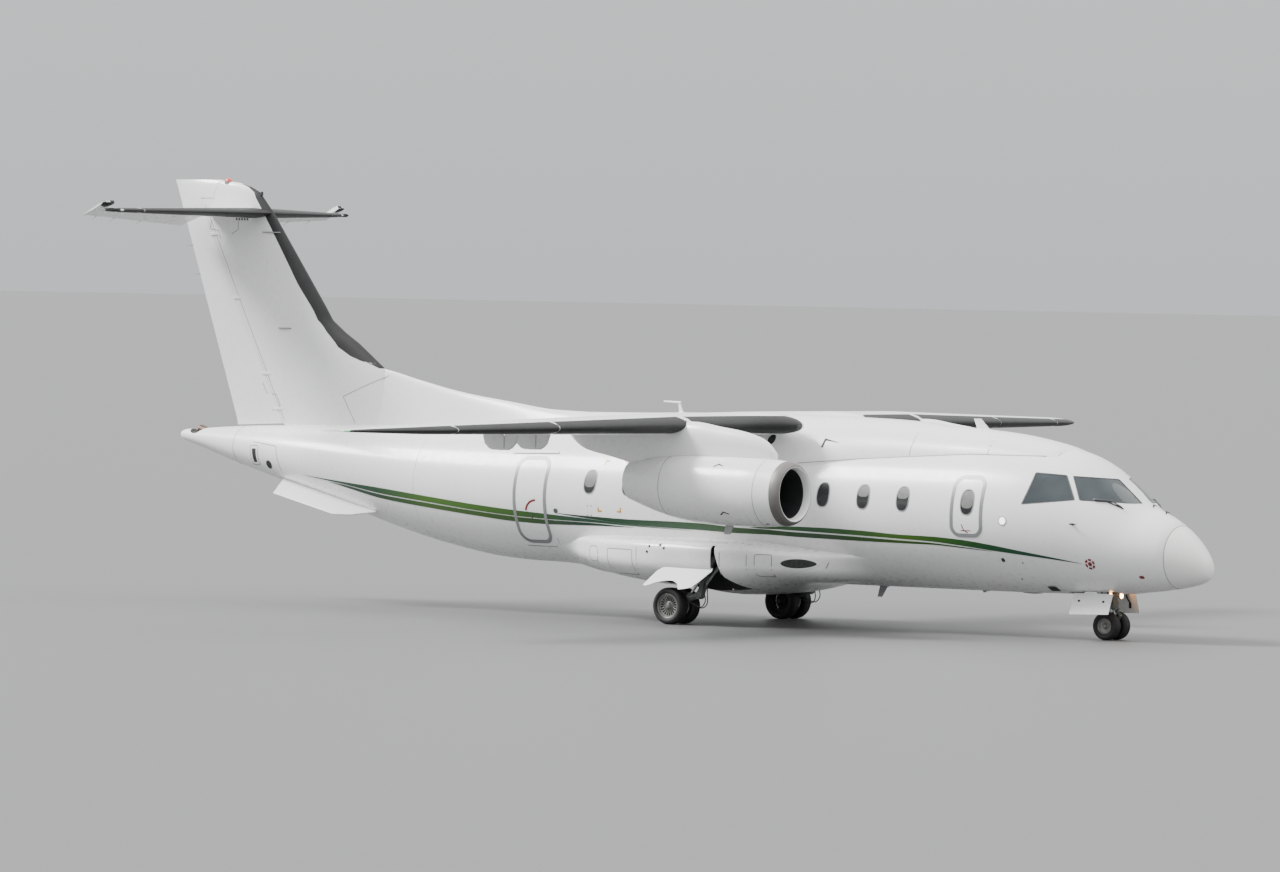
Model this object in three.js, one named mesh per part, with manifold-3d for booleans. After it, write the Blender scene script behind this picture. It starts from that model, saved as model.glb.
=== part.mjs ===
// High-wing regional jet on its landing gear, built as separate solids that fit together.
// Millimetres. +X points to the nose, +Y to the left wing, +Z up. The origin is on the ground
// under the middle of the aircraft's box.

import * as THREE from 'three';
import { mergeVertices } from 'three/addons/utils/BufferGeometryUtils.js';
import Module from 'manifold-3d';

const wasm = await Module();
wasm.setup();

// Driving dimensions
const NOSE_X = 10640;
const HALF_SPAN = 10490;
const HEIGHT = 7240;
const FIT = 0.35;              // gap between flat pieces that touch
const ROOM = 0.6;              // the same between curved pieces
const RUN = 8;                 // gap round the nose of a control surface
const END_GAP = 10;            // gap at each end of a control surface
const HUG = 0.8;               // gap round that nose at its hinge brackets
const COVE = 12;               // gap ahead of a flap's nose
const NOSE_SIDES = 28;
const SKIN = 45;               // thickness of a cabin door
const BODY_SIDES = 24;

// Main and nose wheels
const MAIN_AXLE = { x: 1380, y: 1610, z: 303 };
const MAIN_TYRE = { radius: 303, width: 190, rim: 195, spacing: 300 };
const NOSE_AXLE = { x: 8790, y: 0, z: 226 };
const NOSE_TYRE = { radius: 226, width: 165, rim: 125, spacing: 270 };

// Fuselage sections: x, half width, top and bottom of each ellipse
const BODY = [
  [10640, 6, 1186, 1174], [10620, 115, 1290, 1080], [10560, 210, 1400, 1005],
  [10480, 290, 1510, 960], [10290, 430, 1705, 905], [10090, 545, 1862, 865],
  [9800, 680, 2030, 820], [9510, 795, 2150, 785], [9260, 880, 2365, 755],
  [8980, 965, 2590, 738], [8630, 1045, 2825, 725], [8340, 1105, 2955, 717],
  [8030, 1150, 3040, 711], [7460, 1198, 3105, 704], [6800, 1215, 3130, 700],
  [0, 1215, 3130, 700], [-1000, 1215, 3130, 712], [-2190, 1205, 3130, 775],
  [-3190, 1175, 3128, 880], [-4300, 1105, 3115, 1070], [-5370, 1000, 3095, 1315],
  [-6150, 905, 3075, 1530], [-7150, 765, 3050, 1820], [-8160, 600, 3020, 2090],
  [-9230, 380, 2965, 2380], [-10020, 190, 2905, 2630], [-10410, 45, 2840, 2760],
];
const RADOME_X = 10080;
const REAR_JOINT_X = -4500;
const CONE_JOINT_X = -9200;

// Wing sections: y, leading edge x, trailing edge x, their heights, thickness
const WING = [
  [0, 3440, 420, 3300, 3215, 370], [1200, 3440, 420, 3300, 3215, 370],
  [1550, 3130, 420, 3302, 3215, 362], [1900, 2950, 420, 3302, 3215, 355],
  [3400, 2860, 420, 3302, 3210, 345], [9100, 2100, 730, 3245, 3215, 150],
  [9600, 1885, 780, 3240, 3216, 112], [10000, 1640, 830, 3236, 3218, 78],
  [10300, 1450, 870, 3232, 3220, 50], [HALF_SPAN, 1310, 900, 3230, 3222, 26],
];
const WING_CAMBER = 0.018;
const ROOT_OVERLAP = 40;

// Fin and rudder sections: height, leading edge x, trailing edge x, thickness
const FIN = [
  [2880, -5650, -9108, 370], [4100, -6300, -9535, 330], [4450, -6650, -9658, 318],
  [4840, -7090, -9794, 300], [6650, -8430, -10427, 200], [7030, -8760, -10560, 176],
  [7190, -9210, -10616, 110], [HEIGHT, -9650, -10640, 24],
];
// Dorsal ridge ahead of the fin: x, top, half width at the fuselage
const DORSAL = [
  [-1640, 3400, 470], [-2320, 3420, 400], [-3250, 3530, 330], [-4300, 3670, 280],
  [-5230, 3860, 235], [-5940, 4020, 190], [-6500, 4080, 150],
];
const DORSAL_BASE = 2700;

// Tailplane sections: y, leading edge x, trailing edge x, thickness
const TAIL = [
  [0, -8480, -10330, 186], [60, -8480, -10330, 186], [3095, -9330, -9990, 70], [3350, -9490, -9970, 30],
];
const TAIL_Z = 6670;
const ELEVATOR_DROOP = THREE.MathUtils.degToRad(26);

// Fairing where the wing crosses the roof: x, top, half width, height of its lower edge
const HUMP = [
  [8080, 3020, 380, 2860], [8030, 3045, 540, 2840], [7630, 3150, 640, 2800],
  [6940, 3262, 700, 2740], [5840, 3345, 760, 2680], [4600, 3430, 850, 2600],
  [3520, 3452, 970, 2560], [2260, 3462, 1040, 2560], [420, 3440, 1000, 2560],
  [-500, 3415, 800, 2640], [-1640, 3400, 470, 2800],
];

// Landing gear fairings: x, outer y, bottom, widest height, top
const SPONSON = [
  [-1500, 1000, 1150, 1200, 1260], [-1100, 1180, 1010, 1160, 1480], [-500, 1450, 880, 1120, 1520],
  [100, 1680, 780, 1100, 1530], [700, 1830, 650, 1080, 1520], [1300, 1900, 590, 1060, 1520],
  [2700, 1900, 545, 1040, 1500], [3500, 1860, 560, 1020, 1430], [4100, 1720, 625, 1000, 1340],
  [4700, 1460, 750, 980, 1250], [5100, 1180, 870, 970, 1130], [5250, 950, 930, 970, 1020],
];
const SPONSON_POWER = 2.4;
const SPONSON_SPLIT_Y = 780;
const GEAR_BAY = { rear: 980, door: 1300, doorEnd: 2280, front: 2600, inner: 1230, roof: 1300 };
const GEAR_DOOR = { fold: 940, top: 1478, thick: 30 };

// Engines
const ENGINE_Y = 3400;
const NACELLE = [
  // x, radius, once round the barrel: along the outside to the tail, then back inside
  [4855, 440], [4825, 484], [4700, 513], [4250, 550], [3600, 563], [3000, 548], [2400, 474], [1680, 302],
  [1680, 278], [2400, 400], [3500, 440], [4080, 410], [4250, 395], [4760, 395],
];
const NACELLE_OUTSIDE = 8;     // rows of NACELLE that lie outside
const NACELLE_AXIS = [[1680, 2403], [2150, 2366], [2600, 2332], [3100, 2303], [3600, 2290], [4860, 2265]];
const FAN = { x: 4340, tip: 386, hub: 120, shaft: 40, blades: 14, chord: 130, pitch: 0.8, bladeHalf: 5 };
const SPINNER = [[-90, 120], [60, 120], [160, 84], [240, 20]];   // ahead of the fan's middle, radius
const CORE = [[1880, 30], [2350, 200], [2550, 300], [4000, 300], [4120, 230]];   // x, radius
const STRUTS = { rear: 3250, front: 3600, half: 30, reach: 470 };

// Tail and wing hinge lines, port side: two ends with the radius of the moving nose
const AILERON = { y0: 6950, x0: 1010, y1: 9950, x1: 1120, brackets: [7400, 8450, 9500] };
const FLAPS = [
  { name: 'inner', y0: 1330, y1: 3230, x0: 1080, x1: 1080, fairings: [2300] },
  { name: 'outer', y0: 3620, y1: 6920, x0: 1092, x1: 1120, fairings: [5100, 6000] },
];
const FLAP_PIVOT_Z = 2915;
const FLAP_PIVOT_AHEAD = 60;
const ELEVATOR = { x: -9760, y0: 330, y1: 3095, brackets: [700, 1700, 2700] };
const RUDDER = { bottom: 3020, bottomX: -8100, lean: -0.5045, hornX: -9600, brackets: [3700, 5000, 6200] };
const RUDDER_HORN_Z = 6840;
const RUDDER_FOOT_Z = 2960;

// Small mathematics
const lerp = (a, b, t) => a + (b - a) * t;

// Interpolates column `col` of a table whose rows rise or fall in their first column.
function lookUp(table, at, col) {
  const rows = [...table].sort((p, q) => p[0] - q[0]);
  if (at <= rows[0][0]) return rows[0][col];
  for (let i = 1; i < rows.length; i++) {
    if (at <= rows[i][0]) {
      const t = (at - rows[i - 1][0]) / (rows[i][0] - rows[i - 1][0]);
      return lerp(rows[i - 1][col], rows[i][col], t);
    }
  }
  return rows[rows.length - 1][col];
}

// Solids: a closed mesh becomes a solid that can be joined and cut
function solidFrom(points, faces) {
  const flat = new THREE.BufferGeometry();
  flat.setAttribute('position', new THREE.Float32BufferAttribute(points.flat(), 3));
  flat.setIndex(faces);
  return solidOf(flat);
}

function signedVolume(position, index) {
  const [a, b, c] = [new THREE.Vector3(), new THREE.Vector3(), new THREE.Vector3()];
  let sum = 0;
  for (let i = 0; i < index.length; i += 3) {
    a.fromBufferAttribute(position, index[i]);
    b.fromBufferAttribute(position, index[i + 1]);
    c.fromBufferAttribute(position, index[i + 2]);
    sum += a.dot(b.cross(c));
  }
  return sum;
}

function solidOf(geometry) {
  const bare = geometry.clone();
  bare.deleteAttribute('normal');
  bare.deleteAttribute('uv');
  const merged = mergeVertices(bare, 1e-3);
  const index = [];
  for (let i = 0; i < merged.index.count; i += 3) {
    const [a, b, c] = [0, 1, 2].map((k) => merged.index.getX(i + k));
    if (a !== b && b !== c && c !== a) index.push(a, b, c);
  }
  const position = merged.attributes.position;
  if (signedVolume(position, index) < 0) index.reverse();
  return new wasm.Manifold(new wasm.Mesh({
    numProp: 3,
    vertProperties: Float32Array.from(position.array),
    triVerts: Uint32Array.from(index),
  }));
}

function geometryOf(solid) {
  const mesh = solid.getMesh();
  const geometry = new THREE.BufferGeometry();
  geometry.setAttribute('position', new THREE.BufferAttribute(Float32Array.from(mesh.vertProperties), 3));
  geometry.setIndex(Array.from(mesh.triVerts));
  return geometry;
}

// The same solid on the other side of the aircraft.
function mirrored(solid) {
  const geometry = geometryOf(solid);
  geometry.scale(1, -1, 1);
  return solidOf(geometry);
}

const joined = (solids) => solids.reduce((all, one) => all.add(one));
const without = (solid, cutters) => cutters.reduce((left, one) => left.subtract(one), solid);

// Skins a row of rings that have equal counts, and closes both ends.
function loft(rings) {
  const count = rings[0].length;
  const points = rings.flat();
  const faces = [];
  for (let r = 0; r + 1 < rings.length; r++) {
    for (let i = 0; i < count; i++) {
      const a = r * count + i;
      const b = r * count + (i + 1) % count;
      faces.push(a, b, b + count, a, b + count, a + count);
    }
  }
  faces.push(...capFaces(rings[0], 0).reverse());
  faces.push(...capFaces(rings[rings.length - 1], (rings.length - 1) * count));
  return solidFrom(points, faces);
}

// Triangulates one ring in its own plane, wound as the ring runs.
function capFaces(ring, offset) {
  const normal = new THREE.Vector3();
  ring.forEach((p, i) => {
    const q = ring[(i + 1) % ring.length];
    normal.x += (p[1] - q[1]) * (p[2] + q[2]);
    normal.y += (p[2] - q[2]) * (p[0] + q[0]);
    normal.z += (p[0] - q[0]) * (p[1] + q[1]);
  });
  normal.normalize();
  const along = new THREE.Vector3(normal.y, normal.z, normal.x).cross(normal).normalize();
  const across = normal.clone().cross(along);
  const outline = ring.map((p) => {
    const v = new THREE.Vector3(...p);
    return new THREE.Vector2(v.dot(along), v.dot(across));
  });
  return THREE.ShapeUtils.triangulateShape(outline, []).flat().map((i) => i + offset);
}

const sidePrism = (outline, y0, y1) => loft([y0, y1].map((y) => outline.map(([x, z]) => [x, y, z])));
const planPrism = (outline, z0, z1) => loft([z0, z1].map((z) => outline.map(([x, y]) => [x, y, z])));
const box = (x0, x1, y0, y1, z0, z1) => planPrism([[x0, y0], [x1, y0], [x1, y1], [x0, y1]], z0, z1);

// A round bar between two points; its radius may taper.
function bar(a, b, radiusA, radiusB = radiusA, sides = 16) {
  const from = new THREE.Vector3(...a);
  const to = new THREE.Vector3(...b);
  const axis = to.clone().sub(from).normalize();
  const side = Math.abs(axis.x) > 0.8 ? new THREE.Vector3(0, 1, 0) : new THREE.Vector3(1, 0, 0);
  const u = side.sub(axis.clone().multiplyScalar(side.dot(axis))).normalize();
  const v = axis.clone().cross(u);
  const ring = (centre, radius) => Array.from({ length: sides }, (_, i) => {
    const t = (i / sides) * Math.PI * 2;
    const p = centre.clone();
    p.addScaledVector(u, radius * Math.cos(t));
    p.addScaledVector(v, radius * Math.sin(t));
    return p.toArray();
  });
  return loft([ring(from, radiusA), ring(to, radiusB)]);
}

// A rounded rectangle in the x-z plane.
function roundedFrame(x0, x1, z0, z1, radius, steps = 3) {
  const corners = [[x1 - radius, z1 - radius, 0], [x0 + radius, z1 - radius, 1],
    [x0 + radius, z0 + radius, 2], [x1 - radius, z0 + radius, 3]];
  return corners.flatMap(([x, z, quarter]) => Array.from({ length: steps + 1 }, (_, i) => {
    const t = (quarter + i / steps) * Math.PI / 2;
    return [x + radius * Math.cos(t), z + radius * Math.sin(t)];
  }));
}

// Port half of a fuselage section, drawn `out` millimetres outside the real one. It reaches just
// past the middle, so that the two halves join.
function bodyRing(x, out) {
  const [width, top, bottom] = [1, 2, 3].map((col) => lookUp(BODY, x, col));
  const middle = (top + bottom) / 2;
  const arc = Array.from({ length: BODY_SIDES / 2 }, (_, i) => {
    const t = ((i + 0.5) / BODY_SIDES) * Math.PI * 2 - Math.PI / 2;
    return [x, (width + out) * Math.cos(t), middle + ((top - bottom) / 2 + out) * Math.sin(t)];
  });
  const past = -0.04 * width;
  return [[x, past, arc[0][2]], ...arc, [x, past, arc[arc.length - 1][2]]];
}

function body(out, xFrom = NOSE_X, xTo = -10410) {
  const stations = [...BODY.map(([x]) => x), RADOME_X, REAR_JOINT_X, CONE_JOINT_X].sort((p, q) => q - p);
  const inside = stations.filter((x) => x < xFrom - 1 && x > xTo + 1);
  const half = loft([xFrom, ...inside, xTo].map((x) => bodyRing(x, out)));
  return half.add(mirrored(half));
}

// Wing section: half thickness of a unit section at a part of the chord
const halfThick = (f) => (
  5 * (0.2969 * Math.sqrt(f) - 0.126 * f - 0.3516 * f ** 2 + 0.2843 * f ** 3 - 0.1015 * f ** 4));
const camber = (f) => 4 * WING_CAMBER * f * (1 - f);
const CHORD_STEPS = [1, 0.8, 0.6, 0.4, 0.22, 0.1, 0.03, 0];

// One closed section: back along the top from the trailing edge, round the nose, out along the bottom.
function section(place) {
  const top = CHORD_STEPS.map((f) => place(f, 1));
  const bottom = CHORD_STEPS.slice(0, -1).reverse().map((f) => place(f, -1));
  return [...top, ...bottom];
}

const wingAt = (y) => [1, 2, 3, 4, 5].map((col) => lookUp(WING, Math.abs(y), col));

function wingRing(y, out) {
  const [le, te, zLe, zTe, thick] = wingAt(y);
  return section((f, sign) => {
    const x = lerp(le + out, te - out, f);
    const z = lerp(zLe, zTe, f) + camber(f) * (le - te) + sign * (halfThick(f) * thick + (f > 0 ? out : 0));
    return [x, y, z];
  });
}

function wingPoint(y, x) {
  const [le, te, zLe, zTe, thick] = wingAt(y);
  const f = (le - x) / (le - te);
  return { middle: lerp(zLe, zTe, f) + camber(f) * (le - te), half: halfThick(f) * thick };
}

// Both halves of a lifting surface; they overlap a little at the middle, where the section is constant.
function bothHalves(table, ring) {
  const half = loft([-ROOT_OVERLAP, ...table.map(([y]) => y).slice(1)].map(ring));
  return half.add(mirrored(half));
}

const wingLoft = (out) => bothHalves(WING, (y) => wingRing(y, out));

function tailRing(y, out) {
  const [le, te, thick] = [1, 2, 3].map((col) => lookUp(TAIL, Math.abs(y), col));
  return section((f, sign) => {
    const half = halfThick(f) * thick + (f > 0 ? out : 0);
    return [lerp(le + out, te - out, f), y, TAIL_Z + sign * half];
  });
}

function tailHalf(y, x) {
  const [le, te, thick] = [1, 2, 3].map((col) => lookUp(TAIL, y, col));
  return halfThick((le - x) / (le - te)) * thick;
}

const tailLoft = (out) => bothHalves(TAIL, (y) => tailRing(y, out));

function finHalf(z, x) {
  const [le, te, thick] = [1, 2, 3].map((col) => lookUp(FIN, z, col));
  return halfThick((le - x) / (le - te)) * thick;
}

const finLoft = () => loft(FIN.map(([z, le, te, thick]) => section((f, sign) => (
  [lerp(le, te, f), sign * halfThick(f) * thick, z]))));

// Materials
const paint = (color, roughness = 0.35, metalness = 0) => (
  new THREE.MeshStandardMaterial({ color, roughness, metalness }));
const white = () => paint(0xf1f2f2);
const bareMetal = () => paint(0xa9abad, 0.3, 0.9);
const gearPaint = () => paint(0x8f9a8c, 0.5, 0.3);
const tyreRubber = () => paint(0x1c1c1d, 0.85);

const aircraft = new THREE.Group();

function place(name, solid, material, parent = aircraft) {
  const mesh = new THREE.Mesh(geometryOf(solid), material);
  mesh.name = name;
  parent.add(mesh);
  return mesh;
}

// Adds the left piece and its mirror image on the right.
function placePair(name, solid, material) {
  place(`${name}_left`, solid, material());
  place(`${name}_right`, mirrored(solid), material());
}

// Room for a control surface, cut from the fixed structure: it hugs the moving nose at the
// brackets and stands off by RUN elsewhere.
function hingeBay(a, b, radiusA, radiusB, aft, brackets) {
  const wide = bar(a, b, radiusA + RUN, radiusB + RUN);
  const close = bar(a, b, radiusA + HUG, radiusB + HUG, NOSE_SIDES);
  return joined([without(wide, brackets), close, aft]);
}

// Radii at both ends of a tapered nose that is nowhere thinner than the surface it carries.
function noseRadii(halfAt, from, to) {
  const [r0, r1] = [halfAt(from), halfAt(to)];
  const shares = [0.1, 0.25, 0.4, 0.55, 0.7, 0.85];
  const short = Math.max(0, ...shares.map((t) => halfAt(lerp(from, to, t)) - lerp(r0, r1, t)));
  return [r0 + short + 0.4, r1 + short + 0.4];
}

// Doors in the cabin side: which side, both ends, sill, top, corner radius, edge that is hinged.
// Behind each, a recess reaches in to POCKET from the middle of the aircraft.
const DOORS = [
  { name: 'passenger_door', side: 1, x0: 6380, x1: 7140, z0: 1200, z1: 2800, radius: 90, hinge: 'bottom' },
  { name: 'baggage_door', side: 1, x0: -3560, x1: -2640, z0: 1300, z1: 2600, radius: 90, hinge: 'top' },
  { name: 'service_door', side: -1, x0: 6436, x1: 7122, z0: 1610, z1: 2580, radius: 130, hinge: 'none' },
  { name: 'rear_exit_door', side: -1, x0: -2320, x1: -1500, z0: 1210, z1: 2650, radius: 150, hinge: 'none' },
];
const POCKET = 480;
const DOOR_SIDE_GAP = 5;
const DOOR_FREE_GAP = 10;
const DOOR_CORNER_EASE = 10;   // extra corner radius that lets a door swing out
const THRESHOLD = { depth: 3, outerY: 900 };

const skinInside = body(-SKIN);
const skinOutside = body(0);

function doorParts({ side, x0, x1, z0, z1, radius, hinge }) {
  const moves = hinge !== 'none';
  const across = moves ? DOOR_SIDE_GAP : FIT;
  const low = hinge === 'top' ? DOOR_FREE_GAP : FIT;
  const high = hinge === 'bottom' ? DOOR_FREE_GAP : FIT;
  const corner = moves ? radius + DOOR_CORNER_EASE : radius - FIT;
  const outline = roundedFrame(x0 + across, x1 - across, z0 + low, z1 - high, corner);
  const leaf = sidePrism(outline, side * 300, side * 1500);
  const door = without(skinOutside.intersect(leaf), [skinInside]);
  const hole = sidePrism(roundedFrame(x0, x1, z0, z1, radius), side * POCKET, side * 1500);
  const floor = box(x0 + radius, x1 - radius, POCKET, THRESHOLD.outerY, z0 - THRESHOLD.depth, z0 + 10);
  const recess = moves ? joined([hole, floor]) : without(hole, [body(-SKIN - FIT)]);
  return { door, recess };
}

// Flight deck windows: four corners on the skin of each pane, port side
const PANES = [
  {
    name: 'front_window',
    corners: [[8469, 719, 2627], [8974, 143, 2584], [9432, 139, 2197], [8715, 900, 2244]],
  },
  {
    name: 'side_window',
    corners: [[7861, 875, 2668], [8378, 756, 2636], [8637, 930, 2249], [7770, 1147, 2159]],
  },
];
const PANE_THICK = 18;
const PANE_INSET = 4;

// A four-sided prism through the skin, `grow` millimetres larger than the pane all round.
function paneCutter(corners, grow, depth) {
  const points = corners.map((p) => new THREE.Vector3(...p));
  const centre = points.reduce((sum, p) => sum.add(p), new THREE.Vector3()).divideScalar(4);
  const normal = points[2].clone().sub(points[0]).cross(points[3].clone().sub(points[1])).normalize();
  if (normal.y < 0) normal.negate();
  const ring = (offset) => points.map((p) => {
    const away = p.clone().sub(centre);
    const q = p.clone().addScaledVector(away.normalize(), grow).addScaledVector(normal, offset);
    return [q.x, q.y, q.z];
  });
  return loft([ring(-depth), ring(160)]);
}

const COCKPIT = { rear: 7740, front: 9330, floor: 1900, wall: 60 };

// Nose landing gear bay in the belly
const NOSE_BAY = { rear: 8150, front: 9060, half: 280, roof: 1150 };

function buildFuselage(wingRoom) {
  const room = box(COCKPIT.rear, COCKPIT.front, -1300, 1300, COCKPIT.floor, 3200);
  const cuts = [wingRoom, body(-COCKPIT.wall).intersect(room)];
  cuts.push(box(NOSE_BAY.rear, NOSE_BAY.front, -NOSE_BAY.half, NOSE_BAY.half, 300, NOSE_BAY.roof));
  for (const { corners } of PANES) {
    const hole = paneCutter(corners, FIT, 130);
    cuts.push(hole, mirrored(hole));
  }
  for (const door of DOORS) {
    const { door: leaf, recess } = doorParts(door);
    cuts.push(recess);
    place(door.name, leaf, white());
  }
  place('fuselage', without(body(0, RADOME_X - FIT, REAR_JOINT_X + FIT), cuts), white());
  place('rear_fuselage', body(0, REAR_JOINT_X, CONE_JOINT_X + FIT), white());
  place('radome', body(0, NOSE_X, RADOME_X), white());
  const exhaust = bar([-9800, 0, 2990], [-10080, 0, 2830], 75);
  place('tail_cone', without(body(0, CONE_JOINT_X, -10410), [exhaust]), white());
}

function buildPanes() {
  const shell = without(body(-PANE_INSET), [body(-PANE_INSET - PANE_THICK)]);
  for (const { name, corners } of PANES) {
    placePair(name, shell.intersect(paneCutter(corners, 0, 130)), () => paint(0x2a3236, 0.08));
  }
}

// Floor, instrument panel and two seats seen through the flight deck windows.
function buildFlightDeck() {
  const floor = COCKPIT.floor + FIT;
  const seat = (y) => joined([
    box(7800, 8250, y - 230, y + 230, floor, 2010),
    sidePrism([[7800, 1990], [7930, 1990], [7880, 2560], [7780, 2560]], y - 210, y + 210),
  ]);
  const panelSide = [[8560, floor], [9060, floor], [9130, 2120], [8900, 2230], [8620, 2230]];
  const panel = sidePrism(panelSide, -600, 600);
  const console = box(8200, 8600, -130, 130, floor, 2060);
  const deck = box(7760, 9100, -720, 720, floor, floor + 30);
  place('flight_deck', joined([deck, seat(430), seat(-430), panel, console]), paint(0x3a3b3e, 0.8));
}

// Fairing over the roof, hugging the wing and the fuselage.
function buildHump(wingRoom) {
  const rings = HUMP.map(([x, top, half, base]) => Array.from({ length: 11 }, (_, i) => {
    const t = (i / 10) * Math.PI;
    return [x, half * Math.cos(t), base + (top - base) * Math.sin(t) ** 0.9];
  }));
  place('wing_fairing', without(loft(rings), [body(ROOM), wingRoom]), white());
}

// Wing with its ailerons, flaps and flap track fairings
const flapHinge = (flap, y) => {
  const x = lerp(flap.x0, flap.x1, (y - flap.y0) / (flap.y1 - flap.y0));
  const { middle, half } = wingPoint(y, x);
  return { x, z: middle, r: half * 0.94 };
};

// Plan outline of what lies behind a hinge line, short of both its ends by a gap.
function surfaceBay(a, b, gapEnds) {
  const [x0, y0] = a;
  const [x1, y1] = b;
  const slope = (x1 - x0) / (y1 - y0);
  const at = (y) => [x0 + slope * (y - y0), y];
  return [at(y0 + gapEnds), at(y1 - gapEnds), [-100, y1 - gapEnds], [-100, y0 + gapEnds]];
}

function buildWing() {
  const plain = wingLoft(0);
  const cutters = [];
  const fixedFairings = [];
  const wallZ = [2700, 3800];

  // ailerons: plain hinge at mid thickness
  const { y0: ya, x0: xa, y1: yb, x1: xb } = AILERON;
  const aileronX = (y) => lerp(xa, xb, (y - ya) / (yb - ya));
  const [ra, rb] = noseRadii((y) => wingPoint(y, aileronX(y)).half, ya, yb);
  const hingeA = [xa, ya, wingPoint(ya, xa).middle];
  const hingeB = [xb, yb, wingPoint(yb, xb).middle];
  const aft = planPrism(surfaceBay([xa + ra * 0.35, ya], [xb + rb * 0.35, yb], 0), ...wallZ);
  const brackets = AILERON.brackets.map((y) => box(900, 1300, y - 25, y + 25, ...wallZ));
  cutters.push(hingeBay(hingeA, hingeB, ra, rb, aft, brackets));
  const along = (t) => hingeA.map((v, i) => lerp(v, hingeB[i], t));
  const endShare = END_GAP / (yb - ya);
  const radius = (t) => lerp(ra, rb, t);
  const [first, last] = [endShare, 1 - endShare];
  const nose = bar(along(first), along(last), radius(first), radius(last), NOSE_SIDES);
  const leaf = plain.intersect(planPrism(surfaceBay([xa, ya], [xb, yb], END_GAP), ...wallZ));
  placePair('aileron', leaf.add(nose), white);

  // flaps: they swing on pivots below the wing, inside the fairings
  for (const flap of FLAPS) {
    const inner = flapHinge(flap, flap.y0);
    const outer = flapHinge(flap, flap.y1);
    const from = [inner.x, flap.y0, inner.z];
    const to = [outer.x, flap.y1, outer.z];
    const coveEnds = [[inner.x + inner.r * 0.35, flap.y0], [outer.x + outer.r * 0.35, flap.y1]];
    const cove = planPrism(surfaceBay(...coveEnds, 0), ...wallZ);
    cutters.push(joined([bar(from, to, inner.r + COVE, outer.r + COVE), cove]));
    const t = END_GAP / (flap.y1 - flap.y0);
    const mix = (s) => from.map((v, i) => lerp(v, to[i], s));
    const flapPlan = surfaceBay([inner.x, flap.y0], [outer.x, flap.y1], END_GAP);
    let moving = plain.intersect(planPrism(flapPlan, ...wallZ));
    moving = moving.add(bar(mix(t), mix(1 - t), inner.r, outer.r));
    for (const y of flap.fairings) {
      const { x, z } = flapHinge(flap, y);
      const px = x + FLAP_PIVOT_AHEAD;
      const bottom = FLAP_PIVOT_Z - 25;
      const top = z - 60;
      const under = top - 20;
      moving = joined([
        moving,
        bar([px, y - 40, FLAP_PIVOT_Z], [px, y + 40, FLAP_PIVOT_Z], 25),
        sidePrism([[px - 5, bottom + 10], [px - 5, under - 60], [x - 15, under - 40], [x - 15, top + 40],
          [x - 400, z - 10], [x - 250, bottom], [px - 60, bottom]], y - 40, y + 40),
      ]);
      const fixedSide = [[px + 5, bottom], [px + 5, top + 40], [px + 190, top + 40], [px + 150, top - 30],
        [px + 40, bottom]];
      const pinHole = bar([px, y - 60, FLAP_PIVOT_Z], [px, y + 60, FLAP_PIVOT_Z], 25 + 2 * FIT);
      fixedFairings.push(without(sidePrism(fixedSide, y - 40, y + 40), [pinHole]));
    }
    placePair(`flap_${flap.name}`, moving, white);
  }

  const port = joined(cutters);
  const fairings = joined(fixedFairings);
  const fixed = without(joined([plain, fairings, mirrored(fairings)]), [port, mirrored(port)]);
  place('wing', fixed, white());
}

// Pylon between the wing and the nacelle: x, half thickness, top, bottom
const PYLON = [
  [4580, 20, 2900, 2700], [4480, 62, 3010, 2600], [4310, 92, 3130, 2560], [3950, 126, 3235, 2560],
  [3500, 150, 3325, 2560], [2950, 160, 3405, 2560], [2500, 158, 3380, 2560], [1760, 140, 3330, 2690],
  [1400, 122, 3300, 2770], [850, 78, 3230, 2880], [640, 48, 3214, 2980], [500, 16, 3211, 3080],
];

const nacelleAxis = (x) => lookUp(NACELLE_AXIS, x, 1);

// A closed profile of x and radius, turned about the nacelle's slightly bent axis.
function nacelleTurn(profile, sides = 24) {
  const points = [];
  const faces = [];
  const count = profile.length;
  profile.forEach(([x, radius]) => {
    for (let i = 0; i < sides; i++) {
      const t = (i / sides) * Math.PI * 2;
      points.push([x, ENGINE_Y + radius * Math.cos(t), nacelleAxis(x) + radius * Math.sin(t)]);
    }
  });
  for (let p = 0; p < count; p++) {
    const q = (p + 1) % count;
    for (let i = 0; i < sides; i++) {
      const j = (i + 1) % sides;
      faces.push(p * sides + i, q * sides + i, q * sides + j, p * sides + i, q * sides + j, p * sides + j);
    }
  }
  return solidFrom(points, faces);
}

const nacelleRing = (x, radius, sides = 24) => Array.from({ length: sides }, (_, i) => {
  const t = (i / sides) * Math.PI * 2;
  return [x, ENGINE_Y + radius * Math.cos(t), nacelleAxis(x) + radius * Math.sin(t)];
});

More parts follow.
